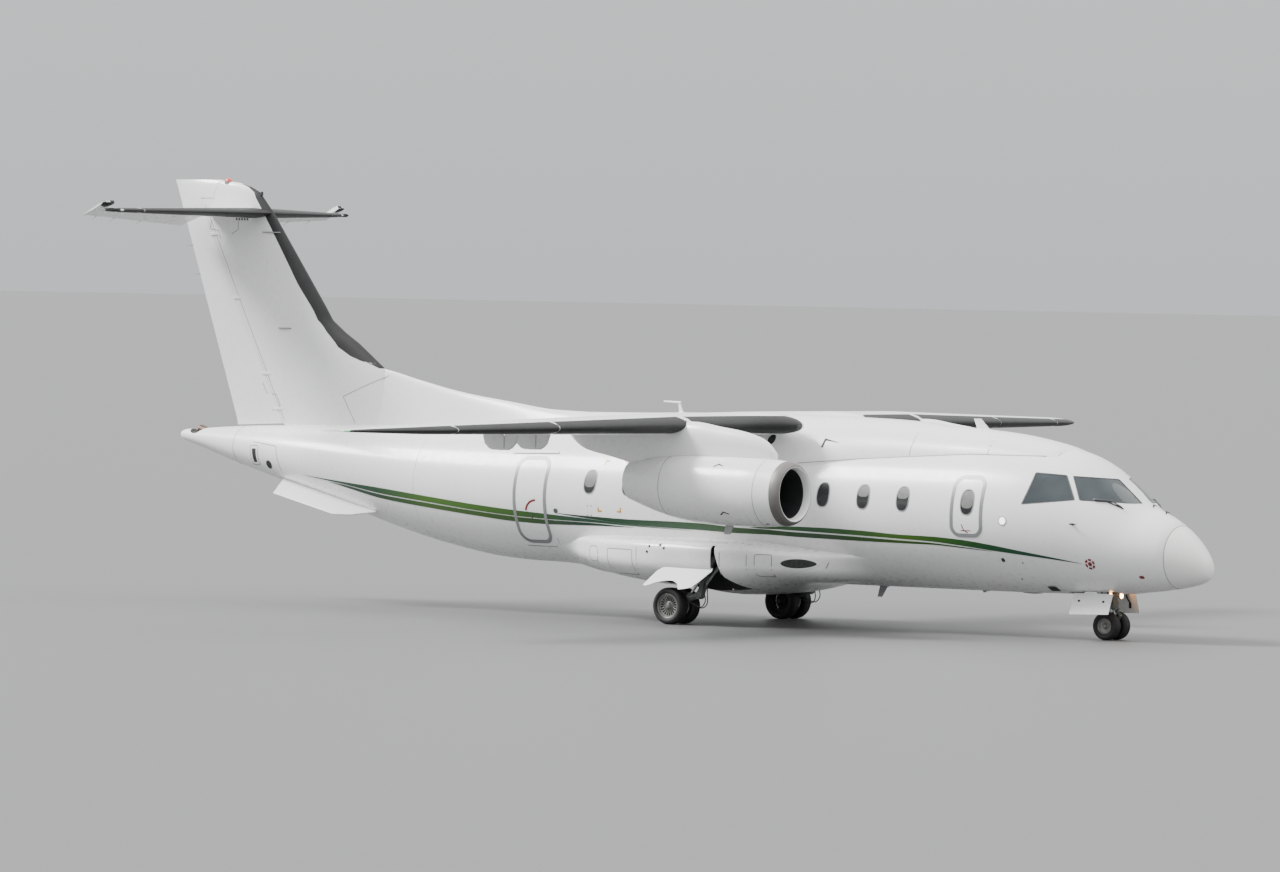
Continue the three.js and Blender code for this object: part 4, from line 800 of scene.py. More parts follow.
def spans(marks, widest):
    """Stations along a span that keep the marks and are nowhere further apart than `widest`."""
    stations = []
    for a, b in zip(marks, marks[1:]):
        count = max(1, math.ceil(abs(b - a) / widest))
        stations += [a + (b - a) * i / count for i in range(count)]
    return stations + [marks[-1]]


def leaf_ring(hinge_x, middle, radius, te, skin_at, place, nose=12, aft=12):
    """Section of a control surface: a round nose about its hinge and two skins behind it."""
    turns = (math.pi / 2 - math.pi * k / nose for k in range(nose + 1))
    ring = [(hinge_x + radius * math.cos(t), middle + radius * math.sin(t)) for t in turns]
    xs = [hinge_x + (te - hinge_x) * i / aft for i in range(1, aft + 1)]
    ring += [(x, skin_at(x, -1)) for x in xs] + [(x, skin_at(x, 1)) for x in reversed(xs)]
    return [place(x, w) for x, w in ring]


def plan_prism(outline, z0, z1):
    """A plate cut to a plan view, between two heights."""
    return loft([[(x, y, z) for x, y in outline] for z in (z0, z1)])


def trailing_bay(a, b, radius_a, radius_b, room, z0, z1, aft_x):
    """Cutters that make room for a surface hinged from a to b."""
    (xa, ya, _), (xb, yb, _) = a, b
    behind = [(xa + radius_a * 0.35, ya), (xb + radius_b * 0.35, yb), (aft_x, yb), (aft_x, ya)]
    return [rod(a, b, radius_a + room, radius_b + room, 40), plan_prism(behind, z0, z1)]


# Hinge line of each surface, inner and outer end in plan, and where its track fairings are.
SURFACES = {"flap_inner": ((1.08, 1.33), (1.08, 3.23), (2.3,)),
            "flap_outer": ((1.092, 3.62), (1.12, 6.92), (5.24, 6.1)),
            "aileron": ((1.01, 6.95), (1.12, 9.95), ())}
FAIRING_LOW, FAIRING_HALF, FAIRING_GAP = 2.89, 0.04, 0.008
HANDS = (("left", lambda part: part), ("right", mirrored))
half_stations = spans([row[0] for row in WING], 0.3)
whole_wing = loft([wing_ring(-y) for y in reversed(half_stations[1:])]
                  + [wing_ring(y) for y in half_stations])
fixed_wing = piece("wing_skin", [whole_wing], gloss_white, stands_for=["wing"])
bays, fixed_fairings = [], []
for name, ((xa, ya), (xb, yb), fairings) in SURFACES.items():
    is_flap = name != "aileron"
    ends = []
    for x, y in ((xa, ya), (xb, yb)):
        half = wing_skin(y, x, 1) - wing_skin(y, x, 0)
        ends.append(((x, y, wing_skin(y, x, 0)), half * 0.94 if is_flap else half + 0.0006))
    (a, ra), (b, rb) = ends
    bays += trailing_bay(a, b, ra, rb, 0.012 if is_flap else 0.008, 2.7, 3.8, -0.1)
    hinge = [Vector(a).lerp(Vector(b), (y - ya) / (yb - ya)) for y in spans([ya + 0.01, yb - 0.01], 0.3)]
    leaf = loft([leaf_ring(p.x, p.z, ra + (rb - ra) * (p.y - ya) / (yb - ya), wing_curves[1](p.y),
                           lambda x, sign, y=p.y: wing_skin(y, x, sign), lambda x, z, y=p.y: (x, y, z))
                 for p in hinge])
    moving_fairings = []
    for y in fairings:
        x = xa + (xb - xa) * (y - ya) / (yb - ya)
        z = wing_skin(y, x, 0)
        split, low, top = x + 0.06, FAIRING_LOW, z - 0.06
        aft = [(split - FAIRING_GAP, low + 0.012), (split - FAIRING_GAP, top - 0.08), (x - 0.015, top - 0.06),
               (x - 0.015, top + 0.04), (x - 0.4, z - 0.01), (x - 0.33, low + 0.1), (x - 0.25, low + 0.03),
               (x - 0.18, low + 0.004), (split - 0.06, low)]
        front = [(split + FAIRING_GAP, low + 0.004), (split + FAIRING_GAP, top + 0.04),
                 (split + 0.3, top + 0.04),
                 (split + 0.26, top - 0.02), (split + 0.19, low + 0.1), (split + 0.12, low + 0.035),
                 (split + 0.05, low + 0.002)]
        moving_fairings.append(side_prism(aft, y - FAIRING_HALF, y + FAIRING_HALF))
        moving_fairings.append(rod((split, y - 0.03, low + 0.025), (split, y + 0.03, low + 0.025), 0.024))
        fixed_fairings.append(side_prism(front, y - FAIRING_HALF, y + FAIRING_HALF))
    for hand, flip in HANDS:
        body = f"{name}_{hand}"
        piece(f"{name}_skin_{hand}", [flip(leaf)], gloss_white, body, stands_for=[body])
        if moving_fairings:
            piece(f"{name}_track_fairing_{hand}", [flip(c) for c in moving_fairings], gloss_white, body,
                  bevel=0.008)
cut(fixed_wing, bays + [mirrored(bay) for bay in bays])
piece("flap_pivot_fairings", fixed_fairings + [mirrored(f) for f in fixed_fairings], gloss_white, bevel=0.008)

# A laminated fairing carries the roof over the wing, from behind the flight deck to the fin.
# Sections: x, top, half width, height of its lower edge.
HUMP = [
    (8.08, 3.02, 0.38, 2.86), (8.03, 3.045, 0.54, 2.84), (7.63, 3.15, 0.64, 2.8), (6.94, 3.262, 0.7, 2.74),
    (5.84, 3.345, 0.76, 2.68), (4.6, 3.43, 0.85, 2.6), (3.52, 3.452, 0.97, 2.56), (2.26, 3.462, 1.04, 2.56),
    (0.42, 3.44, 1.0, 2.56), (-0.5, 3.415, 0.8, 2.64), (-1.64, 3.4, 0.47, 2.8),
]
hump_curves = [smooth_curve(HUMP, column) for column in (1, 2, 3)]


def hump_ring(x):
    """The fairing's arch at x, with its feet turned into the roof."""
    top, half, base = (curve(x) for curve in hump_curves)
    arch = [(x, half * math.cos(math.pi * i / 36), base + (top - base) * math.sin(math.pi * i / 36) ** 0.9)
            for i in range(37)]
    return [(x, half - 0.08, base - 0.12)] + arch + [(x, 0.08 - half, base - 0.12)]


piece("wing_fairing_shell", [loft([hump_ring(x) for x in spans([row[0] for row in HUMP], 0.16)])],
      gloss_white, stands_for=["wing_fairing"])

# Pylons are flat-sided fairings over the engine mounts; they wrap over the wing's nose and run
# back under it. Sections: x, half thickness, top, bottom.
ENGINE_Y = 3.4
PYLON = [
    (4.58, 0.02, 2.9, 2.7), (4.48, 0.062, 3.01, 2.6), (4.31, 0.092, 3.13, 2.56), (3.95, 0.126, 3.235, 2.56),
    (3.5, 0.15, 3.3, 2.56), (2.95, 0.16, 3.372, 2.56), (2.5, 0.158, 3.372, 2.56), (1.76, 0.14, 3.33, 2.69),
    (1.4, 0.122, 3.3, 2.77), (0.85, 0.078, 3.23, 2.88), (0.64, 0.048, 3.214, 2.98),
    (0.5, 0.016, 3.211, 3.08),
]
pylon_curves = [smooth_curve(PYLON, column) for column in (1, 2, 3)]


def pylon_ring(x):
    """The pylon's section at x: flat sides under a rounded crest."""
    half, top, low = (curve(x) for curve in pylon_curves)
    edge = min(half * 1.9, 0.28)
    crest = [(half * math.cos(math.pi * k / 12), top - edge + edge * math.sin(math.pi * k / 12))
             for k in range(13)]
    return [(x, ENGINE_Y + y, z) for y, z in [(half, low)] + crest + [(-half, low)]]


pylon = loft([pylon_ring(x) for x in spans([row[0] for row in PYLON], 0.1)])
for hand, flip in HANDS:
    piece(f"pylon_fairing_{hand}", [flip(pylon)], gloss_white, stands_for=[f"pylon_{hand}"])

# Turbofan nacelles: a bare metal inlet lip, white cowls latched in two lengths, and a liner inside.
# The barrel's axis bends a little upwards to the rear.
NACELLE = [(4.78, 0.516), (4.25, 0.556), (3.6, 0.563), (3.0, 0.548), (2.4, 0.474), (1.68, 0.302)]
DUCT = [(1.68, 0.278), (2.4, 0.4), (3.5, 0.44), (4.08, 0.41), (4.25, 0.395), (4.78, 0.395)]
NACELLE_AXIS = [(1.68, 2.403), (2.15, 2.366), (2.6, 2.332), (3.1, 2.303), (3.6, 2.29), (4.86, 2.265)]
LIP_X, LIP_LONG, LIP_RADIUS, LIP_OUTER, LIP_INNER = 4.78, 0.155, 0.44, 0.516, 0.395
NACELLE_END_X, COWL_JOINTS = 1.76, (4.77, 4.47, 2.6)
nacelle_outside, nacelle_duct, nacelle_axis = (smooth_curve(rows, 1)
        for rows in (NACELLE, DUCT, NACELLE_AXIS))
polished_metal = paint("inlet_lip_metal", (0.2, 0.19, 0.183), (0.16, 0.152, 0.147), patch=0.3,
                       rough=(0.4, 0.52), metal=0.6, bump=0.03, grain=14)
duct_grey = paint("duct_liner", (0.04, 0.041, 0.043), (0.025, 0.026, 0.028), patch=0.2, rough=(0.4, 0.6),
                  metal=0.4, bump=0.1, grain=180)
hot_metal = paint("exhaust_metal", (0.23, 0.2, 0.175), (0.14, 0.125, 0.115), patch=0.12, rough=(0.35, 0.55),
                  metal=0.9, bump=0.1, grain=60)


def engine_ring(x, radius, sides=72):
    """A circle about the port engine's bent axis."""
    z = nacelle_axis(x)
    return [(x, ENGINE_Y + radius * math.cos(t), z + radius * math.sin(t)) for t in full_turn(sides)]


quarter = [math.pi / 2 * k / 12 for k in range(13)]
outside = [(x, nacelle_outside(x)) for x in spans([LIP_X, 4.25, 3.6, 3.0, 2.4, NACELLE_END_X], 0.09)]
for x in COWL_JOINTS:
    outside += [(x + 0.004, nacelle_outside(x)), (x, nacelle_outside(x) - 0.004),
                (x - 0.004, nacelle_outside(x))]
outside.sort(reverse=True)
lip_out = [(LIP_X + LIP_LONG * math.cos(t), LIP_RADIUS + (LIP_OUTER - LIP_RADIUS) * math.sin(t))
           for t in quarter[:-1]]
lip_in = [(LIP_X + LIP_LONG * math.sin(t), LIP_RADIUS - (LIP_RADIUS - LIP_INNER) * math.cos(t))
          for t in quarter[:-1]]
inside = [(x, nacelle_duct(x)) for x in spans([NACELLE_END_X, 2.4, 3.5, 4.08, 4.25, 4.76], 0.12)]
barrel = closed_wall([engine_ring(x, r) for x, r in lip_out + outside + inside + lip_in])
for hand, flip in HANDS:
    cowl = piece(f"nacelle_cowl_{hand}", [flip(barrel)], [gloss_white, polished_metal, duct_grey],
                 stands_for=[f"nacelle_{hand}"])
    for face in cowl.data.polygons:
        x, y, z = face.center
        radius = math.hypot(abs(y) - ENGINE_Y, z - nacelle_axis(x))
        outer = radius > (nacelle_outside(x) + nacelle_duct(x)) / 2
        face.material_index = 1 if x > 4.77 and radius > LIP_RADIUS else 0 if outer or x > 4.82 else 2

# The fan: hollow titanium blades, twisted from root to tip, on a disc behind a pointed spinner.
# Behind it stand the guide vanes, the core's casing, four struts and the exhaust cone.
FAN_X, FAN_TIP, FAN_HUB, FAN_BLADES = 4.34, 0.384, 0.12, 24
VANE_X, VANES, STRUT_X = 4.14, 32, 3.425
fan_z = nacelle_axis(FAN_X)
blade_metal = paint("fan_blade_metal", (0.2, 0.205, 0.215), (0.15, 0.155, 0.165), patch=0.1,
                    rough=(0.22, 0.36), metal=0.9, bump=0.04, grain=90)


def blade(turn, x0, root, tip, chords, pitches, thick, rows=8, across=8):
    """A twisted, slightly curved blade on the hub; chords and pitches are at root and tip."""
    grids = []
    for face in (1, -1):
        grid = []
        for r in range(rows + 1):
            s = r / rows
            radius = root + (tip - root) * s
            chord = chords[0] + (chords[1] - chords[0]) * s
            pitch = pitches[0] + (pitches[1] - pitches[0]) * s
            row = []
            for c in range(across + 1):
                u = c / across - 0.5
                fullness = math.sqrt(max(0.02, 1 - 4 * u * u))
                bow = 0.08 * chord * (1 - 4 * u * u) + face * thick * (1 - 0.5 * s) * fullness
                along = u * chord * math.cos(pitch) - bow * math.sin(pitch)
                around = u * chord * math.sin(pitch) + bow * math.cos(pitch)
                angle = turn + around / radius
                row.append((x0 + along, ENGINE_Y + radius * math.cos(angle),
                            fan_z + radius * math.sin(angle)))
            grid.append(row)
        grids.append(grid)
    return slab(*grids)


def straight_ring(x, radius):
    """A circle about the fan's own straight axis."""
    return [(x, y, z + fan_z - nacelle_axis(x)) for x, y, z in engine_ring(x, radius, 48)]


spinner = [(FAN_X - 0.09, 0.05), (FAN_X - 0.09, FAN_HUB), (FAN_X + 0.05, FAN_HUB)]
spinner += [(FAN_X + 0.05 + 0.19 * math.sin(t), FAN_HUB * math.cos(t) ** 0.8) for t in quarter[1:-1]]
spinner.append((FAN_X + 0.24, 0.003))
disc = loft([straight_ring(x, r) for x, r in spinner])
blades = [blade(t, FAN_X, FAN_HUB - 0.01, FAN_TIP, (0.105, 0.12), (0.35, 0.95), 0.005)
          for t in full_turn(FAN_BLADES)]
vanes = [blade(t, VANE_X, 0.22, 0.408, (0.09, 0.09), (0.15, 0.15), 0.003, 2, 4) for t in full_turn(VANES)]
CORE = [(1.88, 0.012), (1.9, 0.03), (2.1, 0.1), (2.35, 0.19), (2.4, 0.2), (2.55, 0.29), (2.7, 0.3),
        (4.0, 0.3), (4.08, 0.27), (4.12, 0.22), (4.2, 0.12)]
core = loft([engine_ring(x, r, 48) for x, r in CORE])
struts = []
for c, s in ((1, 0), (0, 1), (-1, 0), (0, -1)):
    struts.append(loft([[(STRUT_X + 0.16 * math.cos(a), ENGINE_Y + radius * c - 0.025 * math.sin(a) * s,
                          nacelle_axis(STRUT_X) + radius * s + 0.025 * math.sin(a) * c)
                          for a in full_turn(24)]
                        for radius in (0.28, 0.443)]))
for hand, flip in HANDS:
    piece(f"fan_blades_{hand}", [flip(b) for b in blades], blade_metal, f"fan_{hand}")
    piece(f"fan_spinner_{hand}", [flip(disc)], duct_grey, f"fan_{hand}", stands_for=[f"fan_{hand}"])
    piece(f"engine_core_{hand}", [flip(core)], hot_metal, stands_for=[f"engine_{hand}"])
    piece(f"guide_vanes_{hand}", [flip(v) for v in vanes + struts], duct_grey)

# The fin is swept and carries the tailplane near its tip; a long dorsal fin leads into it.
# Fin sections: z, leading edge, trailing edge, thickness. Dorsal: x, top, half width.
FIN = [
    (2.88, -5.4, -9.108, 0.37), (4.03, -5.97, -9.51, 0.33), (4.24, -6.25, -9.584, 0.325),
    (4.46, -6.55, -9.66, 0.318), (4.63, -6.83, -9.72, 0.309), (4.84, -7.115, -9.794, 0.3),
    (5.08, -7.28, -9.878, 0.287), (6.65, -8.43, -10.427, 0.2), (7.03, -8.76, -10.56, 0.176),
    (7.12, -8.95, -10.59, 0.15), (7.19, -9.21, -10.616, 0.11), (7.24, -9.65, -10.64, 0.024),
]
DORSAL = [
    (-1.64, 3.4, 0.47), (-2.32, 3.42, 0.4), (-3.25, 3.53, 0.33), (-4.3, 3.67, 0.28), (-5.23, 3.86, 0.235),
    (-5.94, 4.02, 0.19), (-6.5, 4.08, 0.15),
]
TAIL_Z, HORN_Z, RUDDER_FOOT, DORSAL_FOOT = 6.67, 6.93, 2.96, 2.7


def between(rows, at, column):
    """A value read from a table, straight between its rows."""
    return float(np.interp(at, [row[0] for row in rows], [row[column] for row in rows]))


def section_half(rows, at, x):
    """Half the thickness at x of the section that a table gives at `at`."""
    le, te, thick = (between(rows, at, column) for column in (1, 2, 3))
    return half_section(min(max((le - x) / (le - te), 0), 1)) * thick


def fin_half(z, x):
    """The fin's half thickness."""
    return section_half(FIN, z, x)


def fin_ring(z):
    """The fin's section at height z."""
    return chord_ring(between(FIN, z, 1), between(FIN, z, 2), lambda x, sign: (x, sign * fin_half(z, x), z))


rudder_x = lambda z: -8.1 - 0.5045 * (z - 3.02)
horn_x = lambda z: -9.735 + 0.12 * (max(0.0, z - HORN_Z) / 0.28) ** 1.6
rudder_low, rudder_high = (fin_half(z, rudder_x(z)) + 0.002 for z in (RUDDER_FOOT, HORN_Z))
fin = piece("fin_skin", [loft([fin_ring(z) for z in spans([row[0] for row in FIN], 0.16)])], gloss_white,
            stands_for=["fin", "fin_tip"])
hinge_room = rod((rudder_x(2.7), 0, 2.7), (rudder_x(HORN_Z), 0, HORN_Z), rudder_low + 0.011,
                 rudder_high + 0.008, 40)
behind_hinge = [(rudder_x(z) + rudder_high * 0.35, z) for z in (2.7, 7.5)] + [(-11.5, 7.5), (-11.5, 2.7)]
horn_room = [(horn_x(z) + 0.01, z) for z in np.linspace(HORN_Z - 0.02, 7.4, 12)]
horn_room += [(-10.7, 7.4), (-10.7, HORN_Z - 0.02)]
cut(fin, [hinge_room, side_prism(behind_hinge, -0.4, 0.4), side_prism(horn_room, -0.3, 0.3)])
dorsal_curves = [smooth_curve(DORSAL, column) for column in (1, 2)]
ridge = []
for x in spans([row[0] for row in DORSAL], 0.15):
    top, half = (curve(x) for curve in dorsal_curves)
    turns = [math.pi * i / 32 for i in range(33)]
    ridge.append([(x, half * math.cos(t) * (1 - 0.45 * math.sin(t)),
                   DORSAL_FOOT + (top - DORSAL_FOOT) * math.sin(t))
                  for t in turns])
piece("dorsal_fin", [loft(ridge)], gloss_white)


def rudder_ring(z, sheared=False):
    """The rudder's section at z; its lowest one is sheared to follow the tail cone."""
    foot = lambda x: 3.044 + (rudder_x(3.045) - x) * (2.9886 - 3.044) / (rudder_x(3.045) + 9.4)
    radius = rudder_low + (rudder_high - rudder_low) * (z - RUDDER_FOOT) / (HORN_Z - RUDDER_FOOT)
    return leaf_ring(rudder_x(z), 0, radius, between(FIN, z, 2), lambda x, sign: sign * fin_half(z, x),
                     lambda x, y: (x, y, foot(x) if sheared else z))


horn_rings = []
for z in spans([HORN_Z - 0.004, 7.03, 7.12, 7.19, 7.24], 0.06):
    xs = [horn_x(z) + (between(FIN, z, 2) - horn_x(z)) * i / 16 for i in range(17)]
    horn_rings.append([(x, fin_half(z, x), z) for x in xs] + [(x, -fin_half(z, x), z) for x in reversed(xs)])
rudder_rings = [rudder_ring(3.046, True)] + [rudder_ring(z) for z in spans([3.1, 4.45, HORN_Z], 0.25)]
piece("rudder_skin", [loft(rudder_rings), loft(horn_rings)], gloss_white, "rudder", stands_for=["rudder"])

# The tailplane rides on the fin; its elevators hang 26 degrees down when parked, which lifts
# their balance horns above the tips. Sections: y, leading edge, trailing edge, thickness.
TAIL = [(0, -8.48, -10.33, 0.186), (0.06, -8.48, -10.33, 0.186), (3.095, -9.33, -9.99, 0.07),
        (3.35, -9.49, -9.97, 0.03)]
ELEVATOR_X, ELEVATOR_IN, ELEVATOR_OUT, DROOP = -9.76, 0.33, 3.095, math.radians(26)


def tail_half(y, x):
    """The tailplane's half thickness."""
    return section_half(TAIL, abs(y), x)


def tail_ring(y):
    """The tailplane's section at y."""
    return chord_ring(between(TAIL, abs(y), 1), between(TAIL, abs(y), 2),
                      lambda x, sign: (x, y, TAIL_Z + sign * tail_half(y, x)), 22)


tail_stations = spans([0, 0.06, 3.09], 0.25)
whole_tailplane = loft([tail_ring(-y) for y in reversed(tail_stations[1:])]
                       + [tail_ring(y) for y in tail_stations])
tailplane = piece("tailplane_skin", [whole_tailplane], gloss_white, stands_for=["tailplane"])
nose_in, nose_out = (tail_half(y, ELEVATOR_X) + 0.001 for y in (ELEVATOR_IN, ELEVATOR_OUT))
hinge_ends = [(ELEVATOR_X, y, TAIL_Z) for y in (ELEVATOR_IN, ELEVATOR_OUT)]
elevator_bay = trailing_bay(*hinge_ends, nose_in, nose_out, 0.008, 6.4, 6.95, -11)
TIP_STEPS, TIP_SHARES = (0, 0.05, 0.15, 0.35, 0.65, 1), (0.0, 0.45, 0.75, 0.95, 1.0, 0.92)
tip_rings = []
for y in spans([3.07, 3.2, 3.29, 3.33], 0.05):
    inner, le = y < 3.3, between(TAIL, y, 1)
    xs = [le + (-9.41 - le) * s for s in TIP_STEPS] if inner else [-9.402 - 0.0016 * k for k in range(6)]
    half = [share * tail_half(3.1, -9.42) * (1 if inner else 0.4) + 0.0005 for share in TIP_SHARES]
    tip_rings.append([(x, y, TAIL_Z + h) for x, h in zip(xs, half)]
                     + [(x, y, TAIL_Z - h) for x, h in zip(reversed(xs), reversed(half))])
tips = piece("tailplane_tips", [loft(tip_rings), mirrored(loft(tip_rings))], [gloss_white, deicer_black])
for face in tips.data.polygons:
    face.material_index = int(face.center.x > between(TAIL, min(abs(face.center.y), 3.3), 1) - 0.07)
hub_room = block(-11, ELEVATOR_X - 0.04, -0.335, 0.335, 6.4, 6.95)
cut(tailplane, elevator_bay + [mirrored(bay) for bay in elevator_bay] + [hub_room])


def drooped(part):
    """The same part hung down with the parked elevators."""
    c, s = math.cos(DROOP), math.sin(DROOP)
    return [(ELEVATOR_X + (x - ELEVATOR_X) * c - (z - TAIL_Z) * s, y,
             TAIL_Z + (x - ELEVATOR_X) * s + (z - TAIL_Z) * c)
            for x, y, z in part[0]], part[1]


def elevator_radius(y):
    """Radius of the elevator's nose at y."""
    return nose_in + (nose_out - nose_in) * (y - ELEVATOR_IN) / (ELEVATOR_OUT - ELEVATOR_IN)


def horn_height(y, x, sign):
    """Height of the balance horn's skin, blunt at its front."""
    return TAIL_Z + sign * min(tail_half(y, x), 0.6 * math.sqrt(max(0, horn_le(y) - x)))


elevator = loft([leaf_ring(ELEVATOR_X, TAIL_Z, elevator_radius(y), between(TAIL, y, 2),
                           lambda x, sign, y=y: TAIL_Z + sign * tail_half(y, x), lambda x, z, y=y: (x, y, z))
                 for y in spans([ELEVATOR_IN + 0.01, ELEVATOR_OUT + 0.004], 0.25)])
horn_le = lambda y: min(between(TAIL, y, 1), -9.43)
horn = loft([chord_ring(horn_le(y), between(TAIL, y, 2),
                        lambda x, sign, y=y: (x, y, horn_height(y, x, sign)), 22)
             for y in spans([3.1, 3.3, 3.35], 0.06)])
for hand, flip in HANDS:
    piece(f"elevator_skin_{hand}", [drooped(flip(elevator)), drooped(flip(horn))], gloss_white,
          f"elevator_{hand}", stands_for=[f"elevator_{hand}"])

# Two splayed strakes under the tail steady the aircraft. They are flat bonded plates with a
# rounded edge, screwed to the tail section along their roots.
STRAKE = ((-5.66, 0.6, 1.66), (-7.84, 0.33, 2.14), (-7.76, 0.77, 1.855), (-6.3, 0.985, 1.548),
          (-5.95, 0.93, 1.545), (-5.56, 0.72, 1.6))
strake = loft([[(x, y + 0.42 * out, z + 0.9 * out) for x, y, z in STRAKE] for out in (-0.014, 0.014)])
for hand, flip in HANDS:
    piece(f"strake_{hand}", [flip(strake)], gloss_white, stands_for=[f"ventral_strake_{hand}"],
          bevel=0.009)

# Gear fairings bulge from the belly on both sides as one laminated shell, open where the main
# legs fold in. Sections: x, outermost y, bottom, widest z, top.
SPONSON = [
    (-1.6, 0.8, 0.93, 1.15, 1.34), (-1.5, 0.86, 0.9, 1.145, 1.355), (-1.3, 0.95, 0.86, 1.145, 1.368),
    (-1.1, 1.04, 0.829, 1.14, 1.378), (-0.8, 1.22, 0.77, 1.135, 1.388), (-0.57, 1.39, 0.718, 1.125, 1.394),
    (0.1, 1.67, 0.627, 1.1, 1.404), (0.7, 1.83, 0.577, 1.08, 1.408), (1.3, 1.9, 0.554, 1.06, 1.408),
    (2.0, 1.9, 0.474, 1.05, 1.4), (2.65, 1.9, 0.524, 1.04, 1.388), (3.1, 1.875, 0.639, 1.03, 1.35),
    (3.45, 1.8, 0.698, 1.02, 1.316), (3.9, 1.54, 0.73, 1.01, 1.28), (4.2, 1.26, 0.75, 1.0, 1.262),
    (4.5, 1.05, 0.77, 0.99, 1.25), (4.9, 0.95, 0.8, 0.98, 1.24),
]
sponson_curves = [smooth_curve(SPONSON, column) for column in (1, 2, 3, 4)]
# The bays are lined in a near-black primer: the shade inside them is painted into its colour.
bay_lining_painted_shade = paint("bay_primer_painted_shade", (0.01, 0.012, 0.01), (0.006, 0.007, 0.006), patch=0.3, rough=(0.6, 0.8),
                  bump=0.2, grain=120)


def sponson_section(x, above):
    """Outermost y, widest z, reach up or down from there and squareness of the section at x."""
    outer, low, widest, top = (curve(x) for curve in sponson_curves)
    return outer, widest, top - widest if above else widest - low, 6.5 if above else 2.4


def sponson_blend(x):
    """1 where the fairing stands on its own, falling to 0 where it lies down on the belly."""
    t = min(1.0, max(0.0, min((x + 1.6) / 0.7, (4.85 - x) / 1.0)))
    return t * t * (3 - 2 * t)


def sponson_ring(x, out=0.0, count=96):
    """The gear fairing's section at x, squarer above its widest line than below."""
    proud = sponson_blend(x)
    ring = []
    for turn in full_turn(count):
        c, s = math.cos(turn), math.sin(turn)
        outer, widest, reach, power = sponson_section(x, s > 0)
        bend = lambda v: math.copysign(abs(v) ** (2 / power), v)
        z = widest + (reach + out) * bend(s)
        hugging = math.copysign(abs(skin(x, z, 1)[1]) + 0.002, c)
        ring.append((x, (outer + out) * bend(c) * proud + hugging * (1 - proud), z))
    return ring


def on_sponson(x, z, side, out=0.0):
    """A point of the gear fairing's side at height z."""
    outer, widest, reach, power = sponson_section(x, z > sponson_curves[2](x))
    share = min(1.0, abs(z - widest) / reach)
    proud = sponson_blend(x)
    y = outer * (1 - share ** power) ** (1 / power) * proud + abs(skin(x, z, 1)[1]) * (1 - proud)
    return x, side * (y + out), z


sponsons = piece("gear_fairing_shell",
                 [loft([sponson_ring(x) for x in spans([row[0] for row in SPONSON], 0.12)])],
                 [gloss_white, bay_lining_painted_shade], stands_for=["sponson_left", "sponson_right", "belly_fairing"])
bay_slit = [(2.23, 0.3), (2.23, 1.318), (2.3, 1.322), (2.33, 1.176), (2.38, 1.036), (2.46, 0.813),
            (2.68, 0.597), (2.74, 0.3)]
bay_boxes = [block(0.98, 1.31, 1.23, 1.84, 0.3, 0.72), block(0.98, 1.31, 1.23, 1.6, 0.3, 1.25),
             block(1.3, 2.29, 1.23, 2.2, 0.3, 0.94), block(1.3, 2.29, 1.23, 1.868, 0.3, 1.3),
             side_prism(bay_slit, 1.23, 2.2)]
cut(sponsons, bay_boxes + [mirrored(b) for b in bay_boxes])
# Faces deep inside the bays take the near-black lining, painted shade.
for face in sponsons.data.polygons:
    x, y, z = face.center
    outer, widest, reach, power = sponson_section(x, z > sponson_curves[2](x))
    deep = (abs(y) / outer) ** power + (abs(z - widest) / reach) ** power < 0.965
    face.material_index = int(deep and 0.97 < x < 2.73 and abs(y) > 1.2)

# Main gear doors are bonded panels hinged along the fairing: the upper one is shut again when the
# legs are down, and the lower one, on the leg, hangs flared out over the outer wheel.
LOWER_DOOR = [(1.37, 0.955), (1.27, 0.925), (1.19, 0.88), (1.08, 0.76), (0.975, 0.64), (1.04, 0.625),
              (1.23, 0.69),
              (1.34, 0.712), (1.44, 0.725), (1.56, 0.725), (1.65, 0.685), (1.7, 0.59), (1.83, 0.605),
              (1.95, 0.63), (2.08, 0.73), (2.275, 0.905), (2.275, 0.955)]
flare = loft([[(x, 1.85 + (0.955 - z) * 0.45 + out, z) for x, z in LOWER_DOOR] for out in (0.0, 0.022)])
upper_door = slab(*[[[on_sponson(x, z, 1, out) for z in np.linspace(0.93, 1.317, 12)]
                     for x in np.linspace(1.305, 2.24, 12)] for out in (0.002, -0.02)])
for hand, flip in HANDS:
    piece(f"main_gear_door_panel_{hand}", [flip(flare), flip(upper_door)], gloss_white,
          stands_for=[f"main_gear_door_{hand}"], bevel=0.004)

# Main landing gear: a cast leg in grey-green enamel with a trailing arm between twin wheels,
# a shock strut across their angle, a light drag brace and the brake hoses clipped to the leg.
MAIN_AXLE, NOSE_AXLE = (1.38, 1.61, 0.303), (8.79, 0.0, 0.226)
leg_enamel = paint("leg_enamel", (0.12, 0.138, 0.126), (0.08, 0.092, 0.084), patch=0.15, rough=(0.35, 0.55),
                   coat=0.2, bump=0.18, grain=70)
brace_enamel = paint("brace_enamel", (0.36, 0.366, 0.356), (0.27, 0.275, 0.27), patch=0.12,
                     rough=(0.3, 0.45), bump=0.08, grain=90)
chrome = paint("chromed_piston", (0.45, 0.45, 0.47), (0.38, 0.385, 0.4), patch=0.1, rough=(0.06, 0.14),
               metal=1.0, bump=0.01, grain=200)
hose_black = paint("hose_rubber", (0.03, 0.03, 0.032), (0.055, 0.055, 0.058), patch=0.05, rough=(0.5, 0.7),
                   bump=0.3, grain=600)


